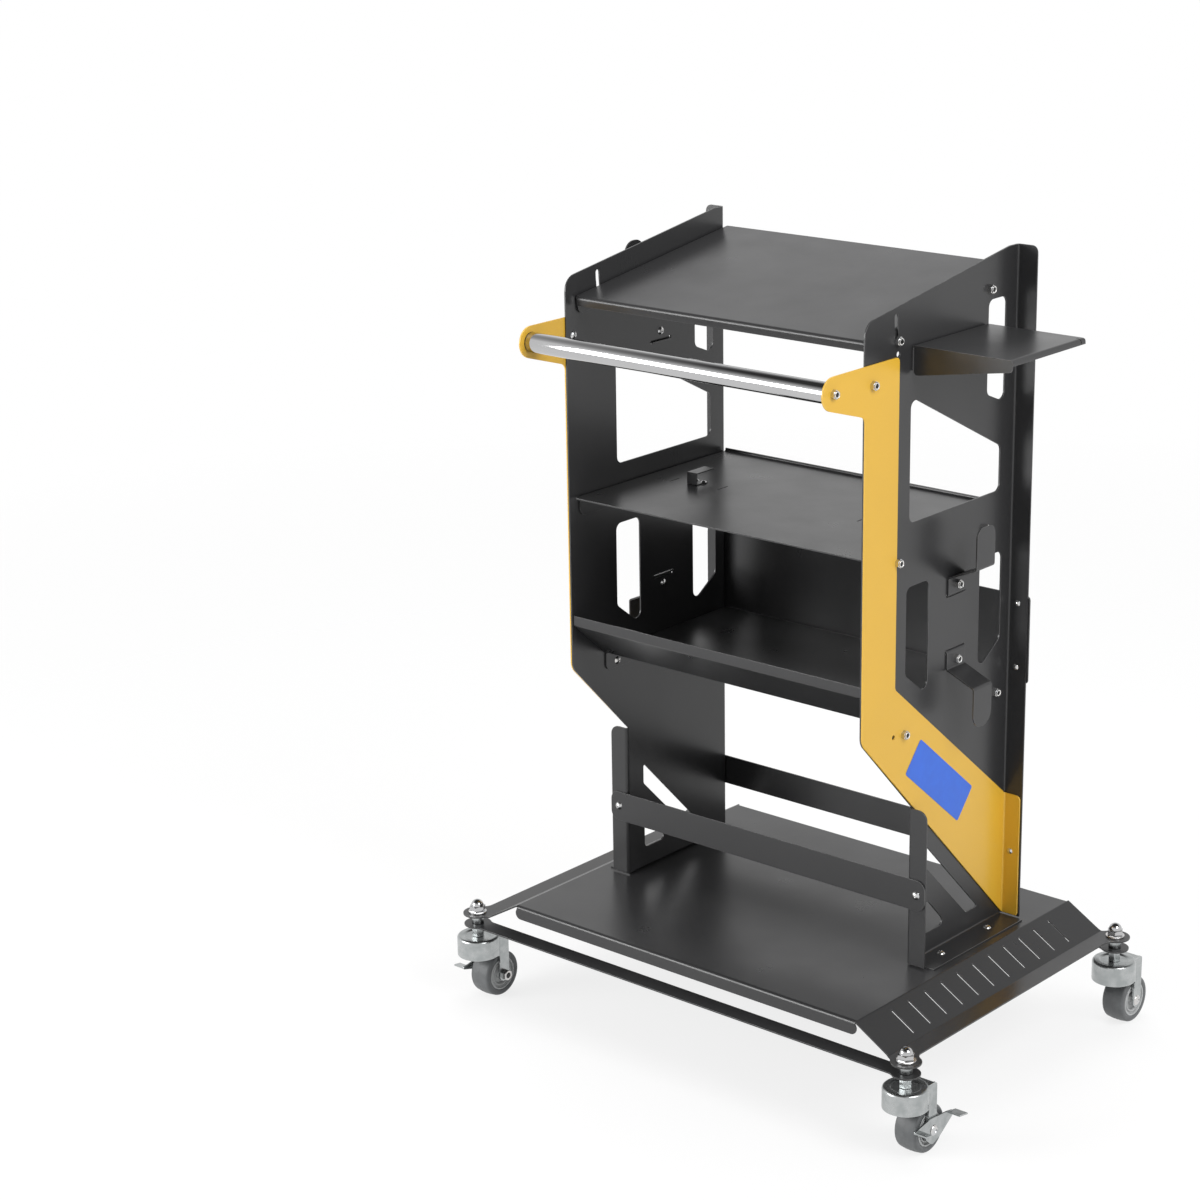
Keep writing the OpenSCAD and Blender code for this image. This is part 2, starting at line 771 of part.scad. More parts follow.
module top_shelf() {
  wide = shelf_half - sheet - bend;
  guide = [-guide_reach * cos(guide_angle), -guide_reach * sin(guide_angle)];
  color(charcoal) cart() on_top_shelf() difference() {
    union() {
      channel(shelf_half, shelf_rise, top_flange, shelf_front + sheet + bend, shelf_back, 8);
      along_x(-wide, 2 * wide) polygon(folded(
        [[shelf_back, shelf_rise], [shelf_front, shelf_rise], [shelf_front, shelf_rise - shelf_lip]]));
    }
    side_holes([0, 0], bolt_r + running_fit);
    side_holes(guide, bolt_r + running_fit);
  }
}

// Tilt axis bolts, fixed to the panels; the shelf's flanges turn on them
module top_shelf_pivots() {
  color(steel) cart() for (side = [-1, 1]) on_side(side)
    side_bolt([pivot_y, pivot_z], side_gap + sheet + body_gap, sheet);
}

// Guide bolts, fixed to the shelf and free to run in the panels' slots
module top_shelf_guides() {
  color(steel) cart() for (side = [-1, 1]) on_side(side) {
    side_bolt([guide_y, guide_z], side_gap + sheet, sheet + body_gap + washer_t);
    difference() {
      rod_x(web_x + body_gap, guide_y, guide_z, bolt_d + 0.5, washer_t);
      rod_x(web_x, guide_y, guide_z, bolt_r + running_fit, 2 * sheet);
    }
  }
}

// Side shelf on the right panel: a fold up the panel, a gusset at each end and a hem outside
module side_shelf() {
  front = side_shelf_y;
  back = front + side_shelf_depth;
  outer = web_x + side_shelf_width;
  gusset = 36;
  gusset_end = 14;
  color(charcoal) cart() difference() {
    union() {
      along_y(front, side_shelf_depth) polygon(folded(
        [[outer, side_shelf_z - side_shelf_hem], [outer, side_shelf_z], [web_x, side_shelf_z],
         [web_x, side_shelf_z - side_shelf_web]]));
      along_y(front, sheet) polygon(rounded(
        [[web_x + sheet + 1, side_shelf_z - 1], [web_x + sheet + 1, side_shelf_z - gusset],
         [outer - 1, side_shelf_z - gusset_end], [outer - 1, side_shelf_z - 1]], [0, 5, 5, 0]));
      along_y(back - sheet, sheet) polygon(rounded(
        [[web_x + sheet + 1, side_shelf_z - 1], [web_x + sheet + 1, side_shelf_z - gusset],
         [outer - 1, side_shelf_z - side_shelf_hem], [outer - 1, side_shelf_z - 1]], [0, 5, 2, 0]));
    }
    for (y = side_shelf_bolt_y)
      side_holes([y, side_shelf_z - side_shelf_bolt_drop], bolt_r + hole_fit);
    translate([outer - side_shelf_hem, back - 10, side_shelf_z - 2 * side_shelf_hem])
      cube([side_shelf_hem + 1, 1.5, 3 * side_shelf_hem]);
  }
}

// Hooks: a tab bolted to the panel, a sloping arm, an upright plate and a tongue in the panel's slit

module hook(side, y, z, upwards, plate, corner) {
  tab_low = -hook_bolt_up;
  tab_high = hook_tab - hook_bolt_up;
  arm_high = tab_high + hook_arm_rise;
  reach = web_x + hook_gap;
  color(charcoal) cart() on_side(side) translate([0, y, z]) mirror([0, 0, upwards < 0 ? 1 : 0]) difference() {
    intersection() {
      along_y(-hook_width / 2, hook_width) polygon(folded(
        [[reach, arm_high + plate], [reach, arm_high], [web_x, tab_high], [web_x, tab_low],
         [web_x - hook_tongue, tab_low]]));
      along_x(web_x - 2 * hook_tongue, 2 * hook_gap) polygon(rounded(
        [[-hook_width / 2, tab_low - 2 * sheet], [hook_width / 2, tab_low - 2 * sheet],
         [hook_width / 2, arm_high + plate], [-hook_width / 2, arm_high + plate]], [0, 0, corner, corner]));
    }
    rod_x(web_x - 1, 0, 0, bolt_r + hole_fit, sheet + 2);
  }
}

module right_upper_hook() {
  hook(1, right_hook_y, right_upper_z, 1, hook_plate, 12);
}

module right_lower_hook() {
  hook(1, right_hook_y, right_lower_z, -1, hook_plate, 17);
}

module left_upper_hook() {
  hook(-1, left_hook_y, left_upper_z, 1, tall_hook_plate, 17);
}

module left_lower_hook() {
  hook(-1, left_hook_y, left_lower_z, -1, hook_plate, 17);
}

// Base

// Front right corner of the deck seen from above: its ear, blended into both edges
function deck_corner() =
  let(
    ear = [stem_x, front_stem_y],
    r = 19,
    blend = 14,
    front_x = ear.x - sqrt((r + blend) * (r + blend) - pow(ear.y - deck_front_y + blend, 2)),
    front = [front_x, deck_front_y - blend],
    side = [strip_x + blend, ear.y + sqrt((r + blend) * (r + blend) - pow(strip_x + blend - ear.x, 2))],
    front_end = atan2(ear.y - front.y, ear.x - front.x),
    side_end = atan2(ear.y - side.y, ear.x - side.x)
  )
  concat(
    arc(front, blend, 90, front_end),
    arc(ear, r, front_end - 180, side_end + 180, 20),
    arc(side, blend, side_end + 360, 180)
  );

function mirror_x(points) = [for (p = reversed(points)) [-p.x, p.y]];
function mirror_y(points) = [for (p = reversed(points)) [p.x, 2 * stem_mid_y - p.y]];

module stem_places() {
  for (x = [-stem_x, stem_x], y = [front_stem_y, back_stem_y])
    translate([x, y, 0]) children();
}

// Front view of the deck's flat part: level on top, its lips flared below the bend
function lip_outline() =
  let(flare = 15, low = deck_z - deck_lip, bend_z = deck_z - sheet - bend)
  rounded(
    [[1 - flat_x, bend_z], [-flat_x - flare, low], [flat_x + flare, low], [flat_x - 1, bend_z],
     [flat_x - 1, deck_z + 1], [1 - flat_x, deck_z + 1]],
    [0, 8, 8, 0, 0, 0]
  );

module base_deck() {
  corner = deck_corner();
  right = concat(corner, mirror_y(corner));
  slot_length = 33;
  slot_width = 2.8;
  fold = sheet + bend;
  color(charcoal) cart() difference() {
    union() {
      intersection() {
        along_y(deck_front_y - 30, deck_back_y - deck_front_y + 60) polygon(folded(
          [[strip_x + 30, ear_z + sheet], [crease_x, ear_z + sheet], [flat_x, deck_z], [-flat_x, deck_z],
           [-crease_x, ear_z + sheet], [-strip_x - 30, ear_z + sheet]]));
        along_z(ear_z - 1, slope_drop + sheet + 2) polygon(concat(
          [[flat_x - 1, deck_front_y + fold], [flat_x - 1, deck_front_y]], right,
          [[flat_x - 1, deck_back_y], [flat_x - 1, deck_back_y - fold]],
          [[1 - flat_x, deck_back_y - fold], [1 - flat_x, deck_back_y]], mirror_x(right),
          [[1 - flat_x, deck_front_y], [1 - flat_x, deck_front_y + fold]]));
      }
      intersection() {
        along_x(-crease_x, 2 * crease_x) polygon(folded(
          [[deck_back_y, ear_z], [deck_back_y, deck_z], [deck_front_y, deck_z], [deck_front_y, ear_z]]));
        along_y(deck_front_y - 1, deck_back_y - deck_front_y + 2) polygon(lip_outline());
      }
    }
    for (side = [-1, 1], i = [0:slot_count - 1])
      translate([side * (flat_x + crease_x) / 2 - slot_length / 2,
                 stem_mid_y + (i - (slot_count - 1) / 2) * slot_pitch - slot_width / 2, ear_z - 5])
        cube([slot_length, slot_width, slope_drop + 15]);
    stem_places() translate([0, 0, ear_z - 1]) cylinder(r = stem_r + hole_fit, h = sheet + 2);
    for (side = [-1, 1], y = foot_bolt_y)
      translate([side * foot_bolt_x, y, deck_z - 2 * sheet]) cylinder(r = bolt_r + hole_fit, h = 3 * sheet);
  }
}

// Flat rail with a round ear at each stem
module base_rail(y) {
  r = 18;
  blend = 12;
  half = rail_width / 2;
  neck = stem_x - sqrt((r + blend) * (r + blend) - (half + blend) * (half + blend));
  end = atan2(half + blend, stem_x - neck);
  lower = concat(
    arc([neck, -half - blend], blend, 90, end),
    arc([stem_x, 0], r, end - 180, 180 - end, 24),
    arc([neck, half + blend], blend, -end, -90));
  color(charcoal) cart() difference() {
    translate([0, y, rail_z]) linear_extrude(sheet) polygon(concat(lower, mirror_x(lower)));
    for (side = [-1, 1])
      translate([side * stem_x, y, rail_z - 1]) cylinder(r = stem_r + hole_fit, h = sheet + 2);
  }
}

module front_base_rail() {
  base_rail(front_stem_y);
}

module rear_base_rail() {
  base_rail(back_stem_y);
}

module stem_spacers() {
  color(zinc) cart() stem_places() translate([0, 0, rail_z + sheet]) difference() {
    cylinder(r = stem_r + 2, h = spacer_length);
    translate([0, 0, -1]) cylinder(r = stem_r + hole_fit, h = spacer_length + 2);
  }
}

module stem_washers() {
  color(steel) cart() stem_places() translate([0, 0, ear_z + sheet]) difference() {
    cylinder(r = 2 * stem_r, h = stem_washer_t);
    translate([0, 0, -1]) cylinder(r = stem_r + hole_fit, h = stem_washer_t + 2);
  }
}

module acorn_nuts() {
  color(chrome) cart() stem_places() translate([0, 0, ear_z + sheet + stem_washer_t]) difference() {
    union() {
      hexagon_prism(acorn_flats, acorn_hex);
      translate([0, 0, acorn_hex]) cylinder(r = 0.45 * acorn_flats, h = 2);
      translate([0, 0, acorn_hex + 2]) dome(0.45 * acorn_flats, acorn_dome - 2);
    }
    translate([0, 0, -1]) cylinder(r = stem_r + running_fit, h = acorn_hex + 5);
  }
}

// Casters, drawn about the stem with the axle behind it

// Threaded stem with its hexagon on the cup and its head inside the cup
module caster_stems() {
  hex_foot = caster_height - cup_dish + body_gap;
  color(zinc) cart() stem_places() union() {
    translate([0, 0, stem_head_z]) cylinder(r = stem_r, h = stem_top - stem_head_z);
    translate([0, 0, stem_head_z]) cylinder(r = 2 * stem_r, h = head_t);
    translate([0, 0, hex_foot]) hexagon_prism(stem_d + 2, rail_z - hex_foot);
  }
}

// Ring of balls between the stem's head and the cup
module swivel_balls() {
  ball_count = 12;
  color(steel) cart() stem_places()
    for (i = [0:ball_count - 1])
      rotate(i * 360 / ball_count) translate([1.6 * stem_r, 0, stem_head_z + head_t + swivel_ball_r])
        sphere(r = swivel_ball_r);
}

// Upright leg with a round foot at the axle
function leg_outline() =
  let(low = wheel_r - leg_half, high = caster_height - cup_wall, round_r = leg_half - 0.1)
  rounded(
    [[trail - leg_half, low], [trail + leg_half, low], [trail + leg_half, high], [trail - leg_half, high]],
    [round_r, round_r, 5, 0]
  );

// Part of the cup's skirt that is kept: level in front, then swept down to meet the legs
function skirt_outline() =
  let(low = caster_height - cup_skirt, high = caster_height - 5, sweep = 14, meet = trail - leg_half)
  rounded(
    [[-cup_r - 1, high], [-cup_r - 1, low], [meet, low], [meet, low - sweep - 2], [meet + 0.5, low - sweep - 2],
     [meet + 0.5, high]],
    [0, 0, sweep, 0, 0, 0]
  );

module caster_fork() {
  color(zinc) difference() {
    union() {
      rotate_extrude() polygon(folded(
        [[cup_r, caster_height - cup_skirt + 4], [cup_r, caster_height], [stem_d + 7, caster_height],
         [stem_d + 5, caster_height - cup_dish], [stem_r + running_fit, caster_height - cup_dish]],
        cup_wall, 1.5));
      intersection() {
        difference() {
          cylinder(r = cup_r, h = caster_height - 5);
          cylinder(r = cup_r - cup_wall, h = caster_height);
        }
        along_x(-cup_r - 1, cup_d + 2) polygon(skirt_outline());
      }
      for (side = [-1, 1]) on_side(side) along_x(leg_inner, leg_t) polygon(leg_outline());
      translate([-leg_inner - 1, cup_r - 6, caster_height - 2 * cup_wall])
        cube([2 * leg_inner + 2, trail + leg_half - 5 - cup_r + 6, cup_wall]);
    }
    rod_x(-cup_r, trail, wheel_r, axle_r + running_fit, cup_d);
  }
}

// Axle bolt with its head outboard; on a braked caster the lever lies under the head
module caster_axle(outboard, braked) {
  head_x = leg_inner + leg_t + (braked ? lever_t + 2 * body_gap : 0);
  color(steel) on_side(outboard) translate([0, trail, wheel_r]) {
    union() {
      rod_x(-leg_inner - leg_t - 7.5, 0, 0, axle_r, leg_inner + leg_t + 7.5 + head_x);
      translate([head_x, 0, 0]) rotate([0, 90, 0]) dome(0.85 * axle_d, 0.4 * axle_d);
    }
    difference() {
      translate([-leg_inner - leg_t, 0, 0]) rotate([0, -90, 0]) hexagon_prism(1.6 * axle_d, 6.5);
      rod_x(-leg_inner - leg_t - 8, 0, 0, axle_r + running_fit, 9);
    }
  }
}

function hub_outline() =
  let(half = hub_width / 2, boss = axle_r + 3.5, dish = 5)
  [[axle_r + running_fit, -tread_width / 2 - 0.6], [boss, -tread_width / 2 - 0.6], [boss + 1, -half + dish],
   [0.62 * hub_r, -half + dish], [0.68 * hub_r, -half + 1], [0.76 * hub_r, -half + 1], [0.8 * hub_r, -half + 3],
   [0.88 * hub_r, -half + 3], [0.9 * hub_r, -half], [hub_r, -half], [hub_r, half], [0.9 * hub_r, half],
   [0.88 * hub_r, half - 3], [0.8 * hub_r, half - 3], [0.76 * hub_r, half - 1], [0.68 * hub_r, half - 1],
   [0.62 * hub_r, half - dish], [boss + 1, half - dish], [boss, tread_width / 2 + 0.6],
   [axle_r + running_fit, tread_width / 2 + 0.6]];

module caster_hub() {
  color(hub_grey) translate([0, trail, wheel_r]) rotate([0, 90, 0]) rotate_extrude() polygon(hub_outline());
}

// Crowned tread with rounded shoulders
module caster_tread() {
  shoulder = 4;
  crown = 1;
  half = tread_width / 2;
  color(rubber_grey) translate([0, trail, wheel_r]) rotate([0, 90, 0]) rotate_extrude() polygon(concat(
    [[hub_r + running_fit, -half + 1], [wheel_r - crown - shoulder - 1, -half]],
    arc([wheel_r - crown - shoulder, -half + shoulder], shoulder, -80, -10, 6),
    [[wheel_r, -half / 3], [wheel_r, half / 3]],
    arc([wheel_r - crown - shoulder, half - shoulder], shoulder, 10, 80, 6),
    [[wheel_r - crown - shoulder - 1, half], [hub_r + running_fit, half - 1]]));
}

// Rocker that turns on the axle: a long arm with the pedal behind and a short arm with a tab in front
function lever_outline() =
  rounded(
    [[-38, 9], [-20, 4], [-15, -8], [-3, -18], [12, -12.5], [38, 5], [38, 12], [27, 14], [-8, 17], [-38, 12]],
    [1, 6, 5, 7, 9, 3, 1, 10, 12, 1]
  );

module brake_lever(side) {
  lever_x = leg_inner + leg_t + body_gap;
  color(zinc) on_side(side) translate([0, trail, wheel_r]) difference() {
    union() {
      along_x(lever_x, lever_t) polygon(lever_outline());
      along_x(lever_x, pedal_width + lever_t) polygon([[30, 10.5], [47, 7.5], [47, 9.5], [30, 12.5]]);
      along_x(lever_x, pedal_width + lever_t) polygon([[-38, 9.5], [-27, 8], [-27, 10], [-38, 11.5]]);
    }
    rod_x(lever_x - 1, 0, 0, axle_r + running_fit, lever_t + 2);
  }
}

module at_caster(side, y) {
  cart() translate([side * stem_x, y, 0]) children();
}

module front_left_fork() { at_caster(-1, front_stem_y) caster_fork(); }
module front_left_axle() { at_caster(-1, front_stem_y) caster_axle(-1, true); }
module front_left_hub() { at_caster(-1, front_stem_y) caster_hub(); }
module front_left_tread() { at_caster(-1, front_stem_y) caster_tread(); }
module front_right_fork() { at_caster(1, front_stem_y) caster_fork(); }
module front_right_axle() { at_caster(1, front_stem_y) caster_axle(1, true); }
module front_right_hub() { at_caster(1, front_stem_y) caster_hub(); }
module front_right_tread() { at_caster(1, front_stem_y) caster_tread(); }
module rear_left_fork() { at_caster(-1, back_stem_y) caster_fork(); }
module rear_left_axle() { at_caster(-1, back_stem_y) caster_axle(-1, false); }
module rear_left_hub() { at_caster(-1, back_stem_y) caster_hub(); }
module rear_left_tread() { at_caster(-1, back_stem_y) caster_tread(); }
module rear_right_fork() { at_caster(1, back_stem_y) caster_fork(); }
module rear_right_axle() { at_caster(1, back_stem_y) caster_axle(1, false); }
module rear_right_hub() { at_caster(1, back_stem_y) caster_hub(); }
module rear_right_tread() { at_caster(1, back_stem_y) caster_tread(); }
module left_brake_lever() { at_caster(-1, front_stem_y) brake_lever(-1); }
module right_brake_lever() { at_caster(1, front_stem_y) brake_lever(1); }

// Fasteners in groups

module cover_fasteners() {
  color(steel) cart() for (side = [-1, 1]) on_side(side) side_bolt(cover_bolt, 0, 2 * sheet);
}

module mid_shelf_fasteners() {
  color(steel) cart() for (side = [-1, 1]) on_side(side) {
    side_bolt(mid_front_bolt, sheet, 2 * sheet);
    side_bolt(mid_back_bolt, sheet, sheet);
  }
}

module tray_fasteners() {
  color(steel) cart() for (side = [-1, 1]) on_side(side) {
    side_bolt(tray_front_bolt, sheet, 2 * sheet);
    side_bolt(tray_back_bolt, sheet, sheet);
  }
}

module hook_fasteners() {
  color(steel) cart() {
    for (z = [right_upper_z, right_lower_z]) side_bolt([right_hook_y, z], 0, 2 * sheet);
    for (z = [left_upper_z, left_lower_z]) on_side(-1) side_bolt([left_hook_y, z], 0, 2 * sheet);
  }
}

module side_shelf_fasteners() {
  color(steel) cart() for (y = side_shelf_bolt_y) 
    side_bolt([y, side_shelf_z - side_shelf_bolt_drop], 0, 2 * sheet);
}

module crossbar_fasteners() {
  color(steel) cart() for (side = [-1, 1]) on_side(side)
    translate([flange_bolt_x, post_setback - sheet, front_bar_z + bar_height / 2]) rotate([-90, 0, 0])
      bolt_and_nut(2 * sheet);
}

module foot_fasteners() {
  color(steel) cart() for (side = [-1, 1], y = foot_bolt_y)
    translate([side * foot_bolt_x, y, deck_z + sheet]) rotate([180, 0, 0]) bolt_and_nut(2 * sheet);
}

module rivets() {
  color(steel) cart() {
    for (side = [-1, 1]) on_side(side) {
      for (z = back_rivet_z)
        translate([flange_bolt_x, panel_depth - sheet, z]) rotate([-90, 0, 0]) rivet(2 * sheet);
      translate([flange_bolt_x, panel_depth - 2 * sheet, back_bar_z + bar_height / 2]) rotate([-90, 0, 0])
        rivet(3 * sheet);
    }
    for (x = bracket_rivet_x)
      translate([x, bracket_rivet_y, mid_z + bracket_t]) rotate([180, 0, 0]) rivet(sheet + bracket_t);
  }
}

base_deck();
front_base_rail();
rear_base_rail();
left_side_panel();
right_side_panel();
left_cover();
right_cover();
handle_tube();
handle_plugs();
handle_fasteners();
mid_shelf();
mid_shelf_bracket();
lower_tray();
lower_back_panel();
front_crossbar();
rear_crossbar();
side_shelf();
right_upper_hook();
right_lower_hook();
left_upper_hook();
left_lower_hook();
label_plate();
stem_spacers();
stem_washers();
acorn_nuts();
caster_stems();
swivel_balls();
cover_fasteners();
mid_shelf_fasteners();
tray_fasteners();
hook_fasteners();
crossbar_fasteners();
foot_fasteners();
side_shelf_fasteners();
rivets();
top_shelf_pivots();
top_shelf();
top_shelf_guides();
front_left_fork();
front_left_axle();
front_left_hub();
front_left_tread();
front_right_fork();
front_right_axle();
front_right_hub();
front_right_tread();
rear_left_fork();
rear_left_axle();
rear_left_hub();
rear_left_tread();
rear_right_fork();
rear_right_axle();
rear_right_hub();
rear_right_tread();
left_brake_lever();
right_brake_lever();
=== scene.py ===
"""Looks of the tiered rolling cart: coated sheetwork, fasteners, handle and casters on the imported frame."""

import json
import logging
import math
from dataclasses import dataclass
from enum import Enum
from typing import Any, Callable, Iterable, Optional, Sequence

import bmesh
import bpy
from mathutils import Matrix, Vector
from mathutils.kdtree import KDTree

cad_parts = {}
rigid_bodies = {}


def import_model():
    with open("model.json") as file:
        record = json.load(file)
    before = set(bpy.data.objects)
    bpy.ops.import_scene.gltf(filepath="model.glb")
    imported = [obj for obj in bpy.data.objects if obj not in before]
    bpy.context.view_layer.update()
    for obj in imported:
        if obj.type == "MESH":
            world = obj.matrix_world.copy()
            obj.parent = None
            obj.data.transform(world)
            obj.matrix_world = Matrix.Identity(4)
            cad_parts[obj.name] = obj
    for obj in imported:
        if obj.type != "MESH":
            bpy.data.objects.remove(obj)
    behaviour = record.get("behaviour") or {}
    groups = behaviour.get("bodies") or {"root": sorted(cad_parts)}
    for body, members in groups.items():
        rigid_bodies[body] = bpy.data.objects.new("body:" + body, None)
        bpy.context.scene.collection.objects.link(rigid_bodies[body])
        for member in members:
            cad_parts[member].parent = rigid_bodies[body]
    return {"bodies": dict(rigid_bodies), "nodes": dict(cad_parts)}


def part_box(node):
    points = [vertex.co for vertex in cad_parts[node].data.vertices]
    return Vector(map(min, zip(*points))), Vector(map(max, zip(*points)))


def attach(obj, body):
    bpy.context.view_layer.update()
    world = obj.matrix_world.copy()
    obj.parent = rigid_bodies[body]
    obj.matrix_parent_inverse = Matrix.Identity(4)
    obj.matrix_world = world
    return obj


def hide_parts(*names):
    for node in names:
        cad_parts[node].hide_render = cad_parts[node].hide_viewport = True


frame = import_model()

MM = 0.001
RIM = "rim"
CORNERS = ("front_left", "front_right", "rear_left", "rear_right")
WHITE = (1, 1, 1, 1)
LOG = logging.getLogger("rolling_cart")
Colour = tuple[float, float, float, float]
Point = tuple[float, float]


# Node trees


@dataclass(frozen=True)
class Sock:
    """An output socket. Arithmetic on it adds Math nodes to its tree."""

    graph: "Graph"
    socket: bpy.types.NodeSocket

    def __add__(self, other: Any) -> "Sock":
        """Sum of two values."""
        return self.graph.maths("ADD", self, other)

    def __radd__(self, other: Any) -> "Sock":
        """Sum with the plain number first."""
        return self.graph.maths("ADD", other, self)

    def __sub__(self, other: Any) -> "Sock":
        """Difference of two values."""
        return self.graph.maths("SUBTRACT", self, other)

    def __rsub__(self, other: Any) -> "Sock":
        """Difference with the plain number first."""
        return self.graph.maths("SUBTRACT", other, self)

    def __mul__(self, other: Any) -> "Sock":
        """Product of two values."""
        return self.graph.maths("MULTIPLY", self, other)

    def __rmul__(self, other: Any) -> "Sock":
        """Product with the plain number first."""
        return self.graph.maths("MULTIPLY", other, self)

    def __truediv__(self, other: Any) -> "Sock":
        """Quotient of two values."""
        return self.graph.maths("DIVIDE", self, other)

    def over(self, low: float, high: float) -> "Sock":
        """Where the value stands between two limits, from 0 to 1.

        Args:
            low: The value that gives 0.
            high: The value that gives 1.

        Returns:
            The clamped share.
        """
        return self.graph.node("ShaderNodeMapRange", {}, {"Value": self, "From Min": low, "From Max": high})


class Graph:
    """Adds nodes to one tree."""

    def __init__(self, tree: bpy.types.NodeTree) -> None:
        """Keeps the tree."""
        self.tree = tree

    def node(self, kind: str, settings: Optional[dict[str, Any]] = None,
             inputs: Optional[dict[Any, Any]] = None, out: Any = 0) -> Optional[Sock]:
        """Adds a node.

        Args:
            kind: The node's type.
            settings: Properties, set first.
            inputs: Values or links by socket name or number.
            out: The output that is wanted.

        Returns:
            That output, or None for a node without outputs.
        """
        made = self.tree.nodes.new(kind)
        for key, value in (settings or {}).items():
            setattr(made, key, value)
        for key, value in (inputs or {}).items():
            for one in value if isinstance(value, list) else [value]:
                if isinstance(one, Sock):
                    self.tree.links.new(one.socket, made.inputs[key])
                else:
                    made.inputs[key].default_value = one
        return Sock(self, made.outputs[out]) if made.outputs else None

    def maths(self, operation: str, *values: Any) -> Sock:
        """Adds a Math node with these values."""
        return self.node("ShaderNodeMath", {"operation": operation}, dict(enumerate(values)))

    def blend(self, share: Any, first: Any, second: Any) -> Sock:
        """Mixes two colours.

        Args:
            share: How much of the second.
            first: The colour at 0.
            second: The colour at 1.

        Returns:
            The mixed colour.
        """
        return self.node("ShaderNodeMix", {"data_type": "RGBA"}, {0: share, 6: first, 7: second}, 2)

    def noise(self, place: Sock, scale: float, detail: float = 2.0,
              stretch: tuple[float, float, float] = (1, 1, 1)) -> Sock:
        """Smooth noise from 0 to 1.

        Args:
            place: The coordinates.
            scale: Features to the metre.
            detail: Octaves.
            stretch: Factors along x, y and z.

        Returns:
            The noise.
        """
        moved = self.node("ShaderNodeVectorMath", {"operation": "MULTIPLY"}, {0: place, 1: stretch})
        return self.node("ShaderNodeTexNoise", {}, {"Vector": moved, "Scale": scale, "Detail": detail})


def blank(owner: Any) -> Graph:
    """The emptied node tree of a material or world."""
    owner.use_nodes = True
    owner.node_tree.nodes.clear()
    return Graph(owner.node_tree)


# Finishes


@dataclass(frozen=True)
class Finish:
    """What all the finishes share."""

    name: str
    colour: Colour

    def build(self) -> bpy.types.Material:
        """Makes the material.

        Returns:
            The material, with its shader linked to the output.
        """
        made = bpy.data.materials.new(self.name)
        graph = blank(made)
        place = graph.node("ShaderNodeTexCoord", out="Object")
        shader = graph.node("ShaderNodeBsdfPrincipled", {}, self.sockets(graph, place))
        graph.node("ShaderNodeOutputMaterial", {}, {"Surface": shader})
        return made

    def sockets(self, graph: Graph, place: Sock) -> dict[str, Any]:
        """What each of the shader's sockets gets; each finish has its own."""
        raise NotImplementedError

    @staticmethod
    def bump(graph: Graph, height: Sock, depth: float) -> Sock:
        """A normal bent by a height from 0 to 1 that stands for so many metres."""
        return graph.node("ShaderNodeBump", {}, {"Strength": 1.0, "Distance": depth, "Height": height})

    def toned(self, graph: Graph, tone: Sock) -> Sock:
        """The finish's colour made lighter or darker by a factor."""
        return graph.node("ShaderNodeVectorMath", {"operation": "SCALE"}, {0: self.colour[:3], "Scale": tone})

    @staticmethod
    def edge_wear_and_highlight(graph: Graph) -> Sock:
        """1 on the edges that a break has marked, 0 elsewhere; the powder coats lighten these as a painted
        highlight, the plating as bared edges.
        """
        return graph.node("ShaderNodeAttribute", {"attribute_name": RIM}, out="Fac")


@dataclass(frozen=True)
class PowderCoat(Finish):
    """Baked powder on sheet steel: orange peel, faint clouding, light scuffs, and thin pale edges that are a
    painted highlight, partly rubbed wear.
    """

    # Edge colour: a painted highlight along the broken edges, partly standing for rubbed wear.
    rubbed_and_highlit: Colour = (0.2, 0.2, 0.2, 1)
    roughness: float = 0.36
    peel: float = 0.00004

    def sockets(self, graph: Graph, place: Sock) -> dict[str, Any]:
        """Colour by clouds and by a painted edge highlight that is partly edge wear, roughness by smears and
        scuffs, bump by the peel.
        """
        cloud = graph.noise(place, 6, 3)
        smear = graph.noise(place, 16, 4, (1, 1, 0.35))
        speck = graph.noise(place, 1400, 1)
        peel = graph.noise(place, 520, 2)
        scuff = graph.noise(place, 70, 2, (1, 12, 0.6)).over(0.68, 0.78)
        rim = self.edge_wear_and_highlight(graph)
        # Painted highlight: marked edges are lightened in patches towards the edge colour, partly as rubbed
        # wear.
        worn_and_highlit = rim * graph.noise(place, 55, 4).over(0.28, 0.6)
        tone = 0.88 + cloud * 0.16 + speck * 0.1
        return {
            "Base Color": graph.blend(worn_and_highlit * 0.75, self.toned(graph, tone), self.rubbed_and_highlit),
            "Roughness": self.roughness - 0.07 + smear * 0.14 + scuff * 0.08 + worn_and_highlit * 0.06,
            "Normal": self.bump(graph, peel + speck * 0.3, self.peel),
        }


@dataclass(frozen=True)
class PlatedSteel(Finish):
    """Zinc or nickel on steel: cloudy plating, fine drawing marks and duller patches."""

    roughness: float = 0.3
    cool: Colour = (0.6, 0.66, 0.68, 1)
    marks: float = 0.00002
    bared: Colour = (0.9, 0.91, 0.92, 1)

    def sockets(self, graph: Graph, place: Sock) -> dict[str, Any]:
        """Colour between the plate's two tints, roughness by patches, bump by drawing marks."""
        patch = graph.noise(place, 90, 3)
        drawn = graph.noise(place, 300, 2, (1, 1, 9))
        grit = graph.noise(place, 2200, 1)
        rim = self.edge_wear_and_highlight(graph)
        tint = graph.blend(patch.over(0.35, 0.65), self.colour, self.cool)
        return {
            "Base Color": graph.blend(rim * 0.5, tint, self.bared),
            "Metallic": 1.0,
            "Roughness": self.roughness - 0.06 + patch * 0.12 + drawn * 0.06 - rim * 0.06,
            "Normal": self.bump(graph, drawn * 0.6 + grit * 0.4, self.marks),
        }


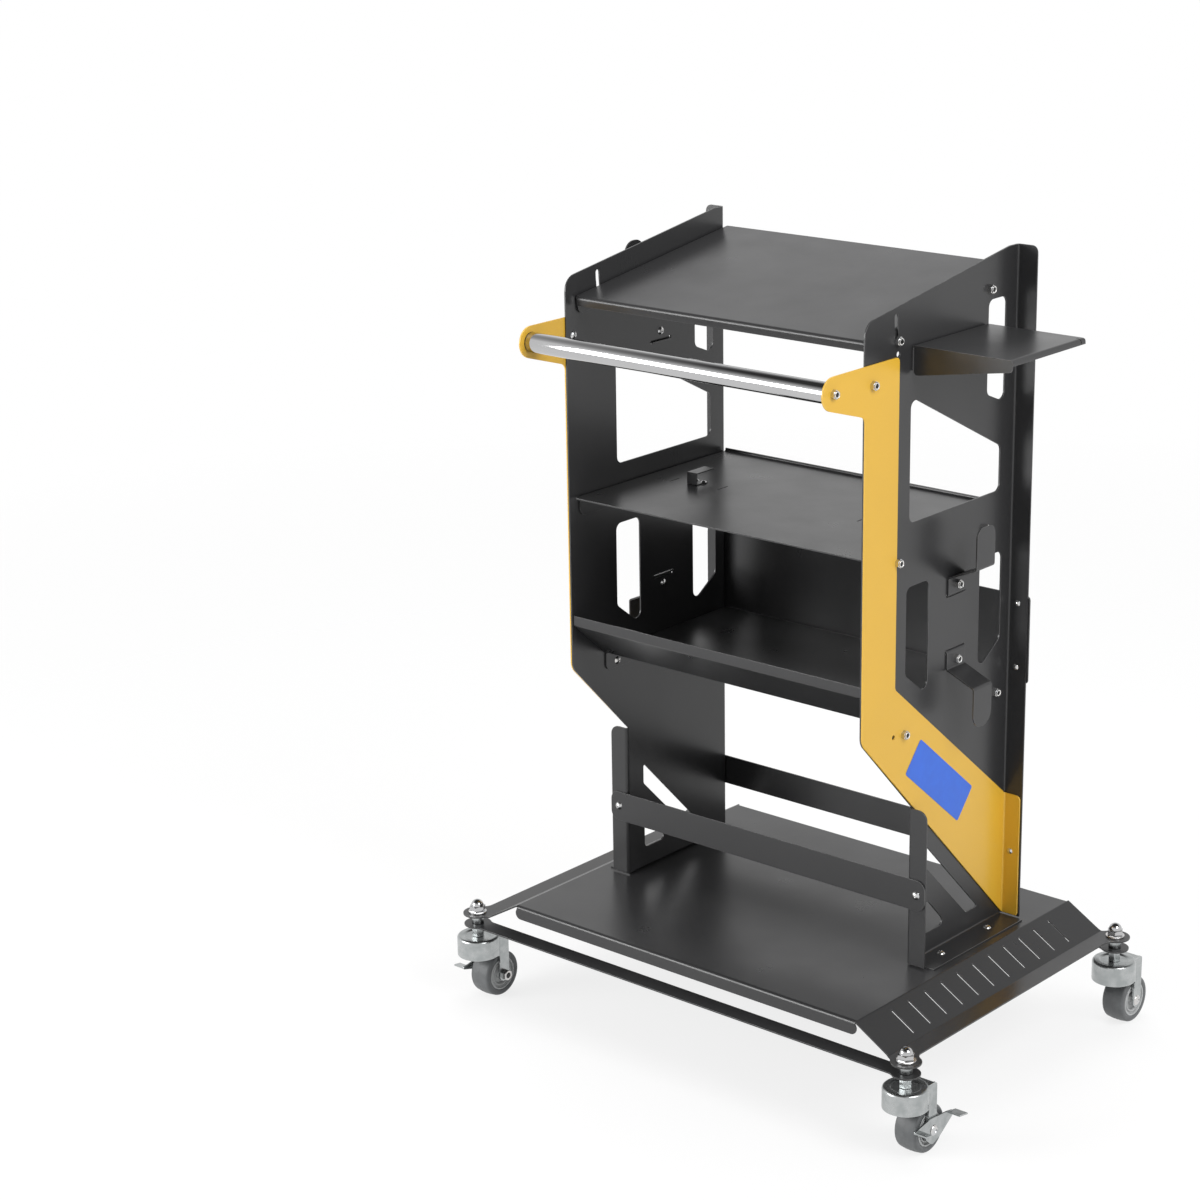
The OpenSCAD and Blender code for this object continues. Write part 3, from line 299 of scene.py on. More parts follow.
@dataclass(frozen=True)
class Chrome(Finish):
    """Bright plate with faint polishing lines and the haze of hands."""

    lines: tuple[float, float, float] = (0.02, 1, 1)
    depth: float = 0.000001

    def sockets(self, graph: Graph, place: Sock) -> dict[str, Any]:
        """Mirror metal whose roughness follows the haze and whose bump follows the lines."""
        haze = graph.noise(place, 14, 4)
        polish = graph.noise(place, 2600, 2, self.lines)
        return {
            "Base Color": self.toned(graph, 0.94 + haze * 0.1),
            "Metallic": 1.0,
            "Roughness": 0.035 + haze.over(0.4, 0.75) * 0.07 + polish * 0.02,
            "Normal": self.bump(graph, polish, self.depth),
        }


@dataclass(frozen=True)
class Moulding(Finish):
    """Moulded plastic or rubber: fine spark texture, flow clouds and a dusty bloom."""

    dusty: Colour = (0.4, 0.4, 0.4, 1)
    dust: float = 0.2
    roughness: float = 0.5
    texture: float = 0.00003

    def sockets(self, graph: Graph, place: Sock) -> dict[str, Any]:
        """Colour with bloom in patches, rougher there, bump by the mould's texture."""
        flow = graph.noise(place, 40, 3)
        spark = graph.noise(place, 1500, 2)
        bloom = graph.noise(place, 120, 4).over(0.45, 0.8)
        return {
            "Base Color": graph.blend(bloom * self.dust, self.toned(graph, 0.9 + flow * 0.2), self.dusty),
            "Roughness": self.roughness - 0.05 + bloom * 0.14 + spark * 0.05,
            "Normal": self.bump(graph, spark, self.texture),
        }


class Coat(Enum):
    """The finishes; each value is the record's material slot that it belongs to."""

    CHARCOAL = "charcoal_steel"
    YELLOW = "yellow_steel"
    CHROME = "chrome_tube"
    PLASTIC = "black_plastic"
    BLACK = "black_steel"
    LABEL = "blue_label"
    BOLT = "bolt_steel"
    ZINC = "zinc_steel"
    HUB = "grey_hub"
    TREAD = "grey_tread"


FINISHES: dict[Coat, Finish] = {
    # In each powder coat the second colour is the lighter edge colour: a painted highlight, partly rubbed
    # wear.
    Coat.CHARCOAL: PowderCoat("charcoal_powder", (0.026, 0.026, 0.027, 1), (0.13, 0.13, 0.13, 1), 0.3),
    Coat.YELLOW: PowderCoat("yellow_powder", (0.68, 0.4, 0.036, 1), (0.88, 0.68, 0.26, 1), 0.32),
    Coat.CHROME: Chrome("chrome_plate", (0.5, 0.5, 0.505, 1)),
    Coat.PLASTIC: Moulding("black_moulding", (0.02, 0.02, 0.02, 1), (0.09, 0.09, 0.09, 1)),
    Coat.BLACK: PowderCoat("black_powder", (0.018, 0.018, 0.019, 1), (0.1, 0.1, 0.1, 1), 0.3),
    Coat.LABEL: Moulding("label_film", (0.014, 0.115, 0.62, 1), (0.04, 0.18, 0.7, 1), 0.3, 0.32, 0.000008),
    Coat.BOLT: PlatedSteel("bolt_zinc", (0.66, 0.64, 0.62, 1), 0.2, (0.56, 0.57, 0.58, 1), 0.000008),
    Coat.ZINC: PlatedSteel("caster_zinc", (0.46, 0.475, 0.475, 1), 0.26, (0.36, 0.38, 0.38, 1)),
    Coat.HUB: Moulding("hub_moulding", (0.4, 0.41, 0.41, 1), (0.5, 0.5, 0.5, 1), 0.2, 0.38),
    Coat.TREAD: Moulding("tread_rubber", (0.1, 0.105, 0.108, 1), (0.2, 0.205, 0.208, 1), 0.35, 0.5),
}
COLLAR = Moulding("nut_collar", (0.82, 0.82, 0.8, 1), (0.7, 0.7, 0.7, 1), 0.2, 0.35)
THREAD = PlatedSteel("bolt_end", (0.05, 0.05, 0.05, 1), 0.42, (0.03, 0.03, 0.03, 1))


# Mesh work


def settled(name: str, work: bmesh.types.BMesh) -> bpy.types.Mesh:
    """Turns a working mesh into a plain one and frees it."""
    mesh = bpy.data.meshes.new(name)
    work.to_mesh(mesh)
    work.free()
    return mesh


def linked(name: str, data: Any) -> bpy.types.Object:
    """A new object in the scene."""
    thing = bpy.data.objects.new(name, data)
    bpy.context.scene.collection.objects.link(thing)
    return thing


class Workshop:
    """Mesh and object chores that every sub-assembly needs."""

    same_place = 0.002 * MM
    same_plane = math.radians(0.3)

    def __init__(self) -> None:
        """Builds every finish once."""
        self.paint = {coat: finish.build() for coat, finish in FINISHES.items()}
        self.collar = COLLAR.build()
        self.thread = THREAD.build()
        self.body = {node: name for name, empty in frame["bodies"].items()
                     for node, thing in frame["nodes"].items() if thing.parent is empty}

    def merged(self, node: str) -> bmesh.types.BMesh:
        """A CAD node's mesh with its corners joined and its flat faces whole.

        Args:
            node: The CAD node.

        Returns:
            The mesh, to be freed by the caller.
        """
        work = bmesh.new()
        work.from_mesh(frame["nodes"][node].data)
        bmesh.ops.remove_doubles(work, verts=work.verts, dist=self.same_place)
        bmesh.ops.dissolve_limit(work, angle_limit=self.same_plane, verts=work.verts, edges=work.edges)
        return work

    def place(self, name: str, mesh: bpy.types.Mesh, node: str, coat: Coat,
              paints: Sequence[bpy.types.Material] = ()) -> bpy.types.Object:
        """Puts a finished mesh in the scene in place of a CAD node.

        Args:
            name: The new piece's name.
            mesh: The mesh, in the frame.
            node: The CAD node that it stands for.
            coat: Its finish, used when no materials are given.
            paints: The materials, where there are several.

        Returns:
            The piece.
        """
        if not paints:
            mesh.materials.clear()
        for paint in paints or [self.paint[coat]]:
            mesh.materials.append(paint)
        piece = linked(name, mesh)
        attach(piece, self.body[node])
        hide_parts(node)
        LOG.info("%s: %d faces, on %s", name, len(mesh.polygons), self.body[node])
        return piece

    @staticmethod
    def smooth(mesh: bpy.types.Mesh, sharp: float = 35.0) -> None:
        """Smooth faces with sharp edges above an angle in degrees."""
        for face in mesh.polygons:
            face.use_smooth = True
        mesh.set_sharp_from_angle(angle=math.radians(sharp))

    @staticmethod
    def evaluated(name: str, mesh: bpy.types.Mesh,
                  dress: Callable[[bpy.types.Object], None]) -> bpy.types.Mesh:
        """Runs a modifier on a mesh.

        Args:
            name: Name of the passing object.
            mesh: The mesh to start with.
            dress: Adds the modifier and sets its inputs.

        Returns:
            The resulting plain mesh.
        """
        passing = linked(name, mesh)
        dress(passing)
        ready = passing.evaluated_get(bpy.context.evaluated_depsgraph_get())
        result = bpy.data.meshes.new_from_object(ready)
        result.name = name
        bpy.data.objects.remove(passing)
        return result


def lathe(outline: Sequence[Point], steps: int, to_frame: Matrix) -> bmesh.types.BMesh:
    """Turns a closed outline into a ring.

    Args:
        outline: Points as (along, radius), closed.
        steps: Facets round the axis.
        to_frame: Takes the turned part, whose axis is X, to its place.

    Returns:
        The ring's mesh, facing outwards.
    """
    work = bmesh.new()
    rings = []
    for along, radius in outline:
        rings.append([
            work.verts.new(to_frame @ Vector((along, radius * math.cos(2 * math.pi * i / steps),
                                              radius * math.sin(2 * math.pi * i / steps))))
            for i in range(steps)])
    for first, second in zip(rings, rings[1:] + rings[:1]):
        for i in range(steps):
            after = (i + 1) % steps
            work.faces.new((first[i], first[after], second[after], second[i]))
    bmesh.ops.recalc_face_normals(work, faces=work.faces)
    return work


def rounded(points: Sequence[Point], radius: float, steps: int = 4) -> list[Point]:
    """Rounds the corners of a closed outline.

    Args:
        points: The corners.
        radius: How far along its sides each corner starts to turn.
        steps: Pieces in each corner.

    Returns:
        The new outline.
    """
    result = []
    for i, corner in enumerate(points):
        here = Vector(corner)
        ends = []
        for other in (points[i - 1], points[(i + 1) % len(points)]):
            way = Vector(other) - here
            ends.append(here + way.normalized() * min(radius, 0.45 * way.length))
        for k in range(steps + 1):
            t = k / steps
            spot = ends[0] * (1 - t) ** 2 + here * 2 * t * (1 - t) + ends[1] * t ** 2
            result.append((spot.x, spot.y))
    return result


# Sheetwork


class Folds:
    """Places of folded faces."""

    def __init__(self, spots: Sequence[Vector]) -> None:
        """Sorts the places for quick searches."""
        self.any = bool(spots)
        self.tree = KDTree(len(spots))
        for index, spot in enumerate(spots):
            self.tree.insert(spot, index)
        self.tree.balance()

    def near(self, ends: Iterable[Vector], reach: float) -> bool:
        """True if either end of an edge is within reach of a fold."""
        return any(self.tree.find(end)[2] < reach for end in ends)


@dataclass(frozen=True)
class Sheetwork:
    """Every folded or pressed part: its cut edges broken by a small round and marked as rims."""

    shop: Workshop
    coats: tuple[tuple[Coat, tuple[str, ...]], ...] = (
        (Coat.CHARCOAL, ("base_deck", "front_base_rail", "rear_base_rail", "left_side_panel",
                         "right_side_panel", "mid_shelf", "lower_tray", "lower_back_panel",
                         "front_crossbar", "rear_crossbar", "side_shelf", "right_upper_hook",
                         "right_lower_hook", "left_upper_hook", "left_lower_hook", "top_shelf")),
        (Coat.YELLOW, ("left_cover", "right_cover")),
        (Coat.BLACK, ("mid_shelf_bracket",)),
        (Coat.LABEL, ("label_plate",)),
        (Coat.ZINC, ("front_left_fork", "front_right_fork", "rear_left_fork", "rear_right_fork",
                     "left_brake_lever", "right_brake_lever", "caster_stems")),
    )
    break_width: float = 0.35 * MM
    label_break: float = 0.12 * MM
    narrow: float = 1.2 * MM
    corner: float = math.radians(32)
    tries: int = 8
    reach: float = 3.0
    leaning: float = 0.6

    def is_corner(self, edge: bmesh.types.BMEdge) -> bool:
        """True for an outside corner that a file would break."""
        return len(edge.link_faces) == 2 and edge.is_convex and edge.calc_face_angle(0) > self.corner

    def is_cut(self, face: bmesh.types.BMFace) -> bool:
        """True for the narrow cut face along a sheet's edge."""
        round_it = face.calc_perimeter()
        if 2 * face.calc_area() / round_it > self.narrow:
            return False
        return sum(e.calc_length() for e in face.edges if self.is_corner(e)) > 0.6 * round_it

    @staticmethod
    def folds(work: bmesh.types.BMesh) -> Folds:
        """Where faces are folded over themselves by breaks that are wider than they are."""
        work.normal_update()
        spots = []
        for loops in work.calc_loop_triangles():
            first, second, third = (loop.vert.co for loop in loops)
            turn = (second - first).cross(third - first)
            if turn.length > 1e-8 and turn.dot(loops[0].face.normal) < 0:
                spots += [vert.co.copy() for vert in loops[0].face.verts]
        return Folds(spots)

    def dressed(self, node: str, width: float) -> bpy.types.Mesh:
        """A copy of a CAD node with broken edges; corners that would fold a face over stay sharp.

        Args:
            node: The CAD node.
            width: Width of the break.

        Returns:
            The copy, whose attribute rim is 1 on cut edges and breaks.
        """
        plain = self.shop.merged(node)
        rim = plain.faces.layers.float.new(RIM)
        # The rim mark set here, 0.7 on cut faces and 1 on breaks, lightens the powder coats' edges as a
        # painted highlight, partly wear.
        for face in plain.faces:
            face[rim] = 0.7 if self.is_cut(face) else 0.0
        plain.edges.index_update()
        corners = {edge.index: tuple(vert.co.copy() for vert in edge.verts)
                   for edge in plain.edges if self.is_corner(edge)}
        for _ in range(self.tries):
            work = plain.copy()
            made = bmesh.ops.bevel(work, geom=[e for e in work.edges if e.index in corners], offset=width,
                                   offset_type="OFFSET", segments=2, profile=0.5, affect="EDGES",
                                   clamp_overlap=False, loop_slide=True, material=-1)
            rim = work.faces.layers.float[RIM]
            for face in made["faces"]:
                face[rim] = 1.0
            folds = self.folds(work)
            if not folds.any:
                break
            corners = {index: ends for index, ends in corners.items()
                       if not folds.near(ends, self.reach * width)}
        plain.free()
        mesh = settled(node + "_coated", work)
        self.shop.smooth(mesh)

        def weigh(passing: bpy.types.Object) -> None:
            """Adds normals that keep wide faces flat."""
            normals = passing.modifiers.new("normals", "WEIGHTED_NORMAL")
            normals.keep_sharp = True

        return self.upright_shading(self.shop.evaluated(node + "_coated", mesh, weigh))

    def upright_shading(self, mesh: bpy.types.Mesh) -> bpy.types.Mesh:
        """Gives each corner whose shading leans far off its face the face's own normal."""
        shading = [corner.vector.copy() for corner in mesh.corner_normals]
        for face in mesh.polygons:
            for index in face.loop_indices:
                if shading[index].dot(face.normal) < self.leaning:
                    shading[index] = face.normal.copy()
        mesh.normals_split_custom_set(shading)
        return mesh

    def build(self) -> None:
        """Makes and places every sheet part."""
        for coat, nodes in self.coats:
            width = self.label_break if coat is Coat.LABEL else self.break_width
            for node in nodes:
                self.shop.place(node + "_finished", self.dressed(node, width), node, coat)


# Fasteners


@dataclass(frozen=True)
class Seat:
    """Where a small part stands and how it points."""

    foot: Vector
    axis: Vector
    length: float
    radius: float


class SmallPart:
    """A Geometry Nodes tree that makes one small solid and sets a copy on every seat."""

    def __init__(self, name: str, sizes: Sequence[str], solid: Callable[[Graph, dict[str, Sock]], Sock],
                 paint: bpy.types.Material) -> None:
        """Builds the tree.

        Args:
            name: The tree's name.
            sizes: Names of its size inputs, in metres.
            solid: Makes the solid, foot at the origin and axis along Z, from those inputs.
            paint: Its material.
        """
        self.name = name
        self.tree = bpy.data.node_groups.new(name, "GeometryNodeTree")
        sockets = self.tree.interface
        sockets.new_socket("Seats", in_out="INPUT", socket_type="NodeSocketGeometry")
        self.inputs = {
            size: sockets.new_socket(size, in_out="INPUT", socket_type="NodeSocketFloat").identifier
            for size in sizes}
        sockets.new_socket("Parts", in_out="OUTPUT", socket_type="NodeSocketGeometry")
        graph = Graph(self.tree)
        given = {size: graph.node("NodeGroupInput", out=size) for size in sizes}
        aim = graph.node("GeometryNodeInputNamedAttribute", {"data_type": "FLOAT_VECTOR"}, {"Name": "aim"})
        turn = graph.node("FunctionNodeAlignRotationToVector", {"axis": "Z"}, {"Vector": aim})
        copies = graph.node("GeometryNodeInstanceOnPoints", {}, {
            "Points": graph.node("NodeGroupInput", out="Seats"), "Instance": solid(graph, given),
            "Rotation": turn})
        real = graph.node("GeometryNodeRealizeInstances", {}, {"Geometry": copies})
        painted = graph.node("GeometryNodeSetMaterial", {}, {"Geometry": real, "Material": paint})
        graph.node("NodeGroupOutput", {}, {"Parts": painted})

    def on(self, seats: Sequence[Seat], sizes: dict[str, float]) -> bpy.types.Mesh:
        """Sets the part on seats.

        Args:
            seats: The seats.
            sizes: A value in metres for each size input.

        Returns:
            One mesh with all the copies.
        """
        mesh = bpy.data.meshes.new(self.name)
        mesh.from_pydata([seat.foot for seat in seats], [], [])
        aim = mesh.attributes.new("aim", "FLOAT_VECTOR", "POINT")
        for entry, seat in zip(aim.data, seats):
            entry.vector = seat.axis

        def dress(passing: bpy.types.Object) -> None:
            """Adds the tree and sets its inputs by identifier."""
            nodes = passing.modifiers.new("parts", "NODES")
            nodes.node_group = self.tree
            for size, value in sizes.items():
                nodes[self.inputs[size]] = value

        result = Workshop.evaluated(self.name, mesh, dress)
        Workshop.smooth(result, 28)
        return result


def raised(graph: Graph, shape: Sock, height: Any) -> Sock:
    """Moves a shape up by a height.

    Args:
        graph: The tree.
        shape: The shape.
        height: How far up.

    Returns:
        The moved shape.
    """
    lift = graph.node("ShaderNodeCombineXYZ", {}, {"Z": height})
    return graph.node("GeometryNodeTransform", {}, {"Geometry": shape, "Translation": lift})


def joined(graph: Graph, operation: str, first: Sock, second: Sock) -> Sock:
    """Boolean of two closed shapes.

    Args:
        graph: The tree.
        operation: UNION, INTERSECT or DIFFERENCE.
        first: The first shape.
        second: The second shape.

    Returns:
        The result.
    """
    inputs = {0: first, 1: second} if operation == "DIFFERENCE" else {1: [first, second]}
    return graph.node("GeometryNodeMeshBoolean", {"operation": operation, "solver": "EXACT"}, inputs)


def rod(graph: Graph, radius: Any, height: Any, sides: int = 32) -> Sock:
    """A cylinder that stands on the origin.

    Args:
        graph: The tree.
        radius: Its radius.
        height: Its height.
        sides: Facets; 6 makes a hexagon.

    Returns:
        The cylinder.
    """
    shape = graph.node("GeometryNodeMeshCylinder", {}, {"Vertices": sides, "Radius": radius, "Depth": height})
    return raised(graph, shape, height * 0.5)


def ring(graph: Graph, inner: Sock, outer: Sock, height: Sock) -> Sock:
    """A washer or collar with broken edges.

    Args:
        graph: The tree.
        inner: Radius of its hole.
        outer: Its outside radius.
        height: Its height.

    Returns:
        The ring, standing on the origin.
    """
    path = graph.node("GeometryNodeCurvePrimitiveCircle", {},
                      {"Resolution": 40, "Radius": (inner + outer) * 0.5}, "Curve")
    section = graph.node("GeometryNodeCurvePrimitiveQuadrilateral", {},
                         {"Width": outer - inner, "Height": height})
    soft = graph.node("GeometryNodeFilletCurve", {"mode": "POLY"},
                      {"Curve": section, "Count": 3, "Radius": height * 0.22, "Limit Radius": True})
    shape = graph.node("GeometryNodeCurveToMesh", {}, {"Curve": path, "Profile Curve": soft})
    return raised(graph, shape, height * 0.5)


def hexagon(graph: Graph, flats: Sock, height: Sock) -> Sock:
    """A hexagon whose top corners are chamfered.

    Args:
        graph: The tree.
        flats: Width across the flats.
        height: Its height.

    Returns:
        The hexagon, standing on the origin.
    """
    steep = 1.75
    prism = rod(graph, flats / math.sqrt(3), height, 6)
    cone = graph.node("GeometryNodeMeshCone", {}, {
        "Vertices": 48, "Radius Top": flats * 0.475, "Radius Bottom": flats * 0.475 + height * steep,
        "Depth": height})
    return joined(graph, "INTERSECT", prism, cone)


def bored_hexagon(graph: Graph, size: dict[str, Sock]) -> Sock:
    """Hexagon nut with its bore."""
    hole = raised(graph, rod(graph, size["Bore"], size["Height"] * 2), size["Height"] * -0.5)
    return joined(graph, "DIFFERENCE", hexagon(graph, size["Flats"], size["Height"]), hole)


def plain_ring(graph: Graph, size: dict[str, Sock]) -> Sock:
    """Collar or washer."""
    return ring(graph, size["Inner"], size["Outer"], size["Height"])


def dome(graph: Graph, radius: Sock, height: Sock) -> Sock:
    """A low dome whose flat side is down.

    Args:
        graph: The tree.
        radius: Radius of its foot.
        height: Its height.

    Returns:
        The dome, standing on the origin.
    """
    ball_r = (radius * radius + height * height) / (height * 2)
    sphere = graph.node("GeometryNodeMeshUVSphere", {}, {"Segments": 48, "Rings": 48, "Radius": ball_r})
    foot = rod(graph, radius * 1.02, height * 1.1, 48)
    return joined(graph, "INTERSECT", raised(graph, sphere, height - ball_r), foot)


def button_head(graph: Graph, size: dict[str, Sock]) -> Sock:
    """Bolt head with a hexagon socket, pointing up from its seat."""
    socket = raised(graph, rod(graph, size["Socket"], size["Height"], 6), size["Height"] * 0.45)
    return joined(graph, "DIFFERENCE", dome(graph, size["Radius"], size["Height"]), socket)


def rivet_dome(graph: Graph, size: dict[str, Sock]) -> Sock:
    """Rivet's dome."""
    return dome(graph, size["Radius"], size["Height"])


def shank(graph: Graph, size: dict[str, Sock]) -> Sock:
    """Bolt's shank with a tapered tip."""
    taper = size["Radius"] * 0.25
    straight = size["Length"] - taper
    point = graph.node("GeometryNodeMeshCone", {}, {
        "Vertices": 32, "Radius Bottom": size["Radius"], "Radius Top": size["Radius"] * 0.75, "Depth": taper})
    body = rod(graph, size["Radius"], straight)
    return graph.node("GeometryNodeJoinGeometry", {}, {0: [body, raised(graph, point, straight)]})


def acorn(graph: Graph, size: dict[str, Sock]) -> Sock:
    """Cap nut: hexagon, neck and dome over a blind bore."""
    neck = size["Flats"] * 0.45
    cap = raised(graph, dome(graph, neck, size["Dome"]), size["Height"] * 0.98)
    whole = joined(graph, "UNION", hexagon(graph, size["Flats"], size["Height"]), cap)
    hole = raised(graph, rod(graph, size["Bore"], size["Depth"] * 2), size["Depth"] * -1.0)
    return joined(graph, "DIFFERENCE", whole, hole)


def ball(graph: Graph, size: dict[str, Sock]) -> Sock:
    """Bearing ball."""
    return graph.node("GeometryNodeMeshUVSphere", {}, {"Segments": 16, "Rings": 10, "Radius": size["Radius"]})


@dataclass
class Fasteners:
    """Bolts, lock nuts, rivets, washers, cap nuts and balls, each where the CAD has its own."""

    shop: Workshop
    shank_radius: float = 3 * MM
    flats: float = 10 * MM
    body: float = 5 * MM
    collar: float = 1.4 * MM
    clearance: float = 0.05 * MM
    socket_share: float = 0.62
    collar_shares: Point = (0.39, 0.45)
    insert_share: float = 0.8
    panel_head: Point = (5.4 * MM, 3 * MM)
    axle_head: Point = (6.8 * MM, 3.2 * MM)
    largest_panel_head: float = 6 * MM
    rivet_head: Point = (4 * MM, 2 * MM)
    rivet_tail: Point = (3.2 * MM, 1.6 * MM)
    rivet_shank: float = 2 * MM
    cap_hexagon: float = 8 * MM
    cap_neck: float = 4 * MM
    cap_bore: float = 6.05 * MM
    stem_bore: float = 6.3 * MM
    axle_shank: float = 4 * MM
    bolted: tuple[str, ...] = ("handle_fasteners", "cover_fasteners", "mid_shelf_fasteners",
                               "tray_fasteners", "hook_fasteners", "crossbar_fasteners", "foot_fasteners",
                               "side_shelf_fasteners", "top_shelf_pivots", "top_shelf_guides")

    def __post_init__(self) -> None:
        """Builds one tree for each kind of part."""
        bolt, collar = self.shop.paint[Coat.BOLT], self.shop.collar
        self.nut = SmallPart("nut_body", ("Flats", "Height", "Bore"), bored_hexagon, bolt)
        self.crimp = SmallPart("nut_crimp", ("Inner", "Outer", "Height"), plain_ring, bolt)
        self.insert = SmallPart("nut_insert", ("Inner", "Outer", "Height"), plain_ring, collar)
        self.head = SmallPart("bolt_head", ("Radius", "Height", "Socket"), button_head, bolt)
        self.shank = SmallPart("bolt_shank", ("Radius", "Length"), shank, self.shop.thread)
        self.rivet = SmallPart("rivet_head", ("Radius", "Height"), rivet_dome, bolt)
        self.cap = SmallPart("cap_nut", ("Flats", "Height", "Dome", "Bore", "Depth"), acorn,
                             self.shop.paint[Coat.CHROME])
        self.ball = SmallPart("bearing_ball", ("Radius",), ball, bolt)

    def islands(self, node: str) -> list[list[Vector]]:
        """The corners of each separate solid of a CAD node.

        Args:
            node: The CAD node.

        Returns:
            A list of corner places for each solid.
        """
        work = self.shop.merged(node)
        left = set(work.verts)
        found = []
        while left:
            stack = [left.pop()]
            solid = []
            while stack:
                vert = stack.pop()
                solid.append(vert.co.copy())
                for edge in vert.link_edges:
                    other = edge.other_vert(vert)
                    if other in left:
                        left.discard(other)
                        stack.append(other)
            found.append(solid)
        work.free()
        return sorted(found, key=lambda solid: tuple(round(v, 6) for v in sum(solid, Vector()) / len(solid)))

    @staticmethod
    def seat_of(solid: Sequence[Vector]) -> Seat:
        """How a turned solid stands: its axis runs from its wide end to its narrow end.

        Args:
            solid: Its corners.

        Returns:
            Its seat, with its whole length and its largest radius.
        """
        low = Vector(tuple(min(p[i] for p in solid) for i in range(3)))
        high = Vector(tuple(max(p[i] for p in solid) for i in range(3)))
        size, middle = high - low, (low + high) / 2
        gaps = [abs(size[(i + 1) % 3] - size[(i + 2) % 3]) for i in range(3)]
        along = min(range(3), key=lambda i: gaps[i])
        radius = max(size[(along + 1) % 3], size[(along + 2) % 3]) / 2

        def girth(end: float) -> float:
            """Widest radius within three tenths of the length from one end."""
            near = [p for p in solid if abs(p[along] - end) < 0.3 * size[along]]
            return max((math.dist([p[k] for k in range(3) if k != along],
                                  [middle[k] for k in range(3) if k != along]) for p in near), default=0.0)

        axis = Vector((0, 0, 0))
        axis[along] = 1.0 if girth(low[along]) > girth(high[along]) else -1.0
        foot = middle.copy()
        foot[along] = low[along] if axis[along] > 0 else high[along]
        return Seat(foot, axis, size[along], radius)

    def rows(self, solids: Sequence[Seat]) -> tuple[list[Seat], list[Seat], list[Seat]]:
        """Sorts the solids of a bolted node into bolts, nuts and washers by their length."""
        bolts = [s for s in solids if s.length > self.body + 2 * self.collar]
        nuts = [s for s in solids if self.body < s.length <= self.body + 2 * self.collar]
        return bolts, nuts, [s for s in solids if s.length <= self.body]

    def combine(self, node: str, coat: Coat, meshes: Sequence[bpy.types.Mesh]) -> None:
        """Joins meshes into the one piece that stands for a node.

        Args:
            node: The CAD node.
            coat: Its finish; the meshes' own materials take its place.
            meshes: The meshes, each with one material.
        """
        work = bmesh.new()
        paints: list[bpy.types.Material] = []
        for mesh in meshes:
            paint = next(material for material in mesh.materials if material)
            if paint not in paints:
                paints.append(paint)
            for face in mesh.polygons:
                face.material_index = paints.index(paint)
            work.from_mesh(mesh)
        self.shop.place(node + "_finished", settled(node + "_finished", work), node, coat, paints)

    def bolt_set(self, bolts: Sequence[Seat], nuts: Sequence[Seat], radius: float, flats: float,
                 body: float, collar: float) -> list[bpy.types.Mesh]:
        """Bolts and their nuts.

        Args:
            bolts: Seats of the bolts, each pointing from the head's top to the tip.
            nuts: Seats of the nuts.
            radius: Radius of the shank.
            flats: Width of a nut across its flats.
            body: Height of a nut's hexagon.
            collar: Height of its collar.

        Returns:
            A mesh for each kind of part.
        """
        meshes = []
        for length in sorted({round(b.length, 5) for b in bolts}):
            same = [b for b in bolts if round(b.length, 5) == length]
            head_height = self.head_height(same[0])
            heads = [Seat(b.foot + b.axis * head_height, -b.axis, 0, b.radius) for b in same]
            stems = [Seat(b.foot + b.axis * head_height, b.axis, 0, radius) for b in same]
            meshes.append(self.head.on(heads, {"Radius": same[0].radius, "Height": head_height,
                                               "Socket": radius * self.socket_share}))
            meshes.append(self.shank.on(stems, {"Radius": radius - self.clearance,
                                                "Length": length - head_height}))
        outward = []
        for nut in nuts:
            bolt = min(bolts, key=lambda b: (b.foot + b.axis * b.length - nut.foot).length)
            middle = nut.foot + nut.axis * nut.length / 2
            outward.append(Seat(middle - bolt.axis * nut.length / 2, bolt.axis, nut.length, nut.radius))
        tops = [Seat(n.foot + n.axis * body, n.axis, 0, 0) for n in outward]
        meshes.append(self.nut.on(outward, {"Flats": flats, "Height": body, "Bore": radius + self.clearance}))
        if collar > 0:
            lip, edge = (share * flats for share in self.collar_shares)
            meshes.append(self.crimp.on(tops, {"Inner": lip, "Outer": edge, "Height": collar}))
            meshes.append(self.insert.on(tops, {"Inner": radius + self.clearance, "Outer": lip,
                                                "Height": collar * self.insert_share}))
        return meshes

    def head_height(self, bolt: Seat) -> float:
        """Height of a bolt's domed head, from its radius and the shape of the panels' or the axles' heads."""
        radius, height = self.panel_head if bolt.radius < self.largest_panel_head else self.axle_head
        return bolt.radius * (height / radius)

    def build(self) -> None:
        """Makes and places every fastener node."""
        for node in self.bolted:
            seats = [self.seat_of(s) for s in self.islands(node)]
            bolts, nuts, washers = self.rows(seats)
            meshes = self.bolt_set(bolts, nuts, self.shank_radius, self.flats, self.body, self.collar)
            if washers:
                meshes.append(self.crimp.on(washers, {
                    "Inner": self.shank_radius + self.clearance, "Outer": washers[0].radius,
                    "Height": washers[0].length}))
            self.combine(node, Coat.BOLT, meshes)
        self.rivets()
        self.stem_parts()
        for corner in CORNERS:
            self.axle(corner + "_axle")

    def rivets(self) -> None:
        """Rivets with a wide head and a narrower tail."""
        seats = [self.seat_of(s) for s in self.islands("rivets")]
        head, tail = self.rivet_head, self.rivet_tail
        heads = [Seat(s.foot + s.axis * head[1], -s.axis, 0, 0) for s in seats]
        tails = [Seat(s.foot + s.axis * (s.length - tail[1]), s.axis, 0, 0) for s in seats]
        meshes = [self.rivet.on(heads, {"Radius": head[0], "Height": head[1]}),
                  self.rivet.on(tails, {"Radius": tail[0], "Height": tail[1]})]
        for length in sorted({round(s.length, 5) for s in seats}):
            same = [Seat(s.foot + s.axis * head[1], s.axis, 0, 0)
                    for s in seats if round(s.length, 5) == length]
            meshes.append(self.shank.on(same, {"Radius": self.rivet_shank,
                                               "Length": length - head[1] - tail[1]}))
        self.combine("rivets", Coat.BOLT, meshes)

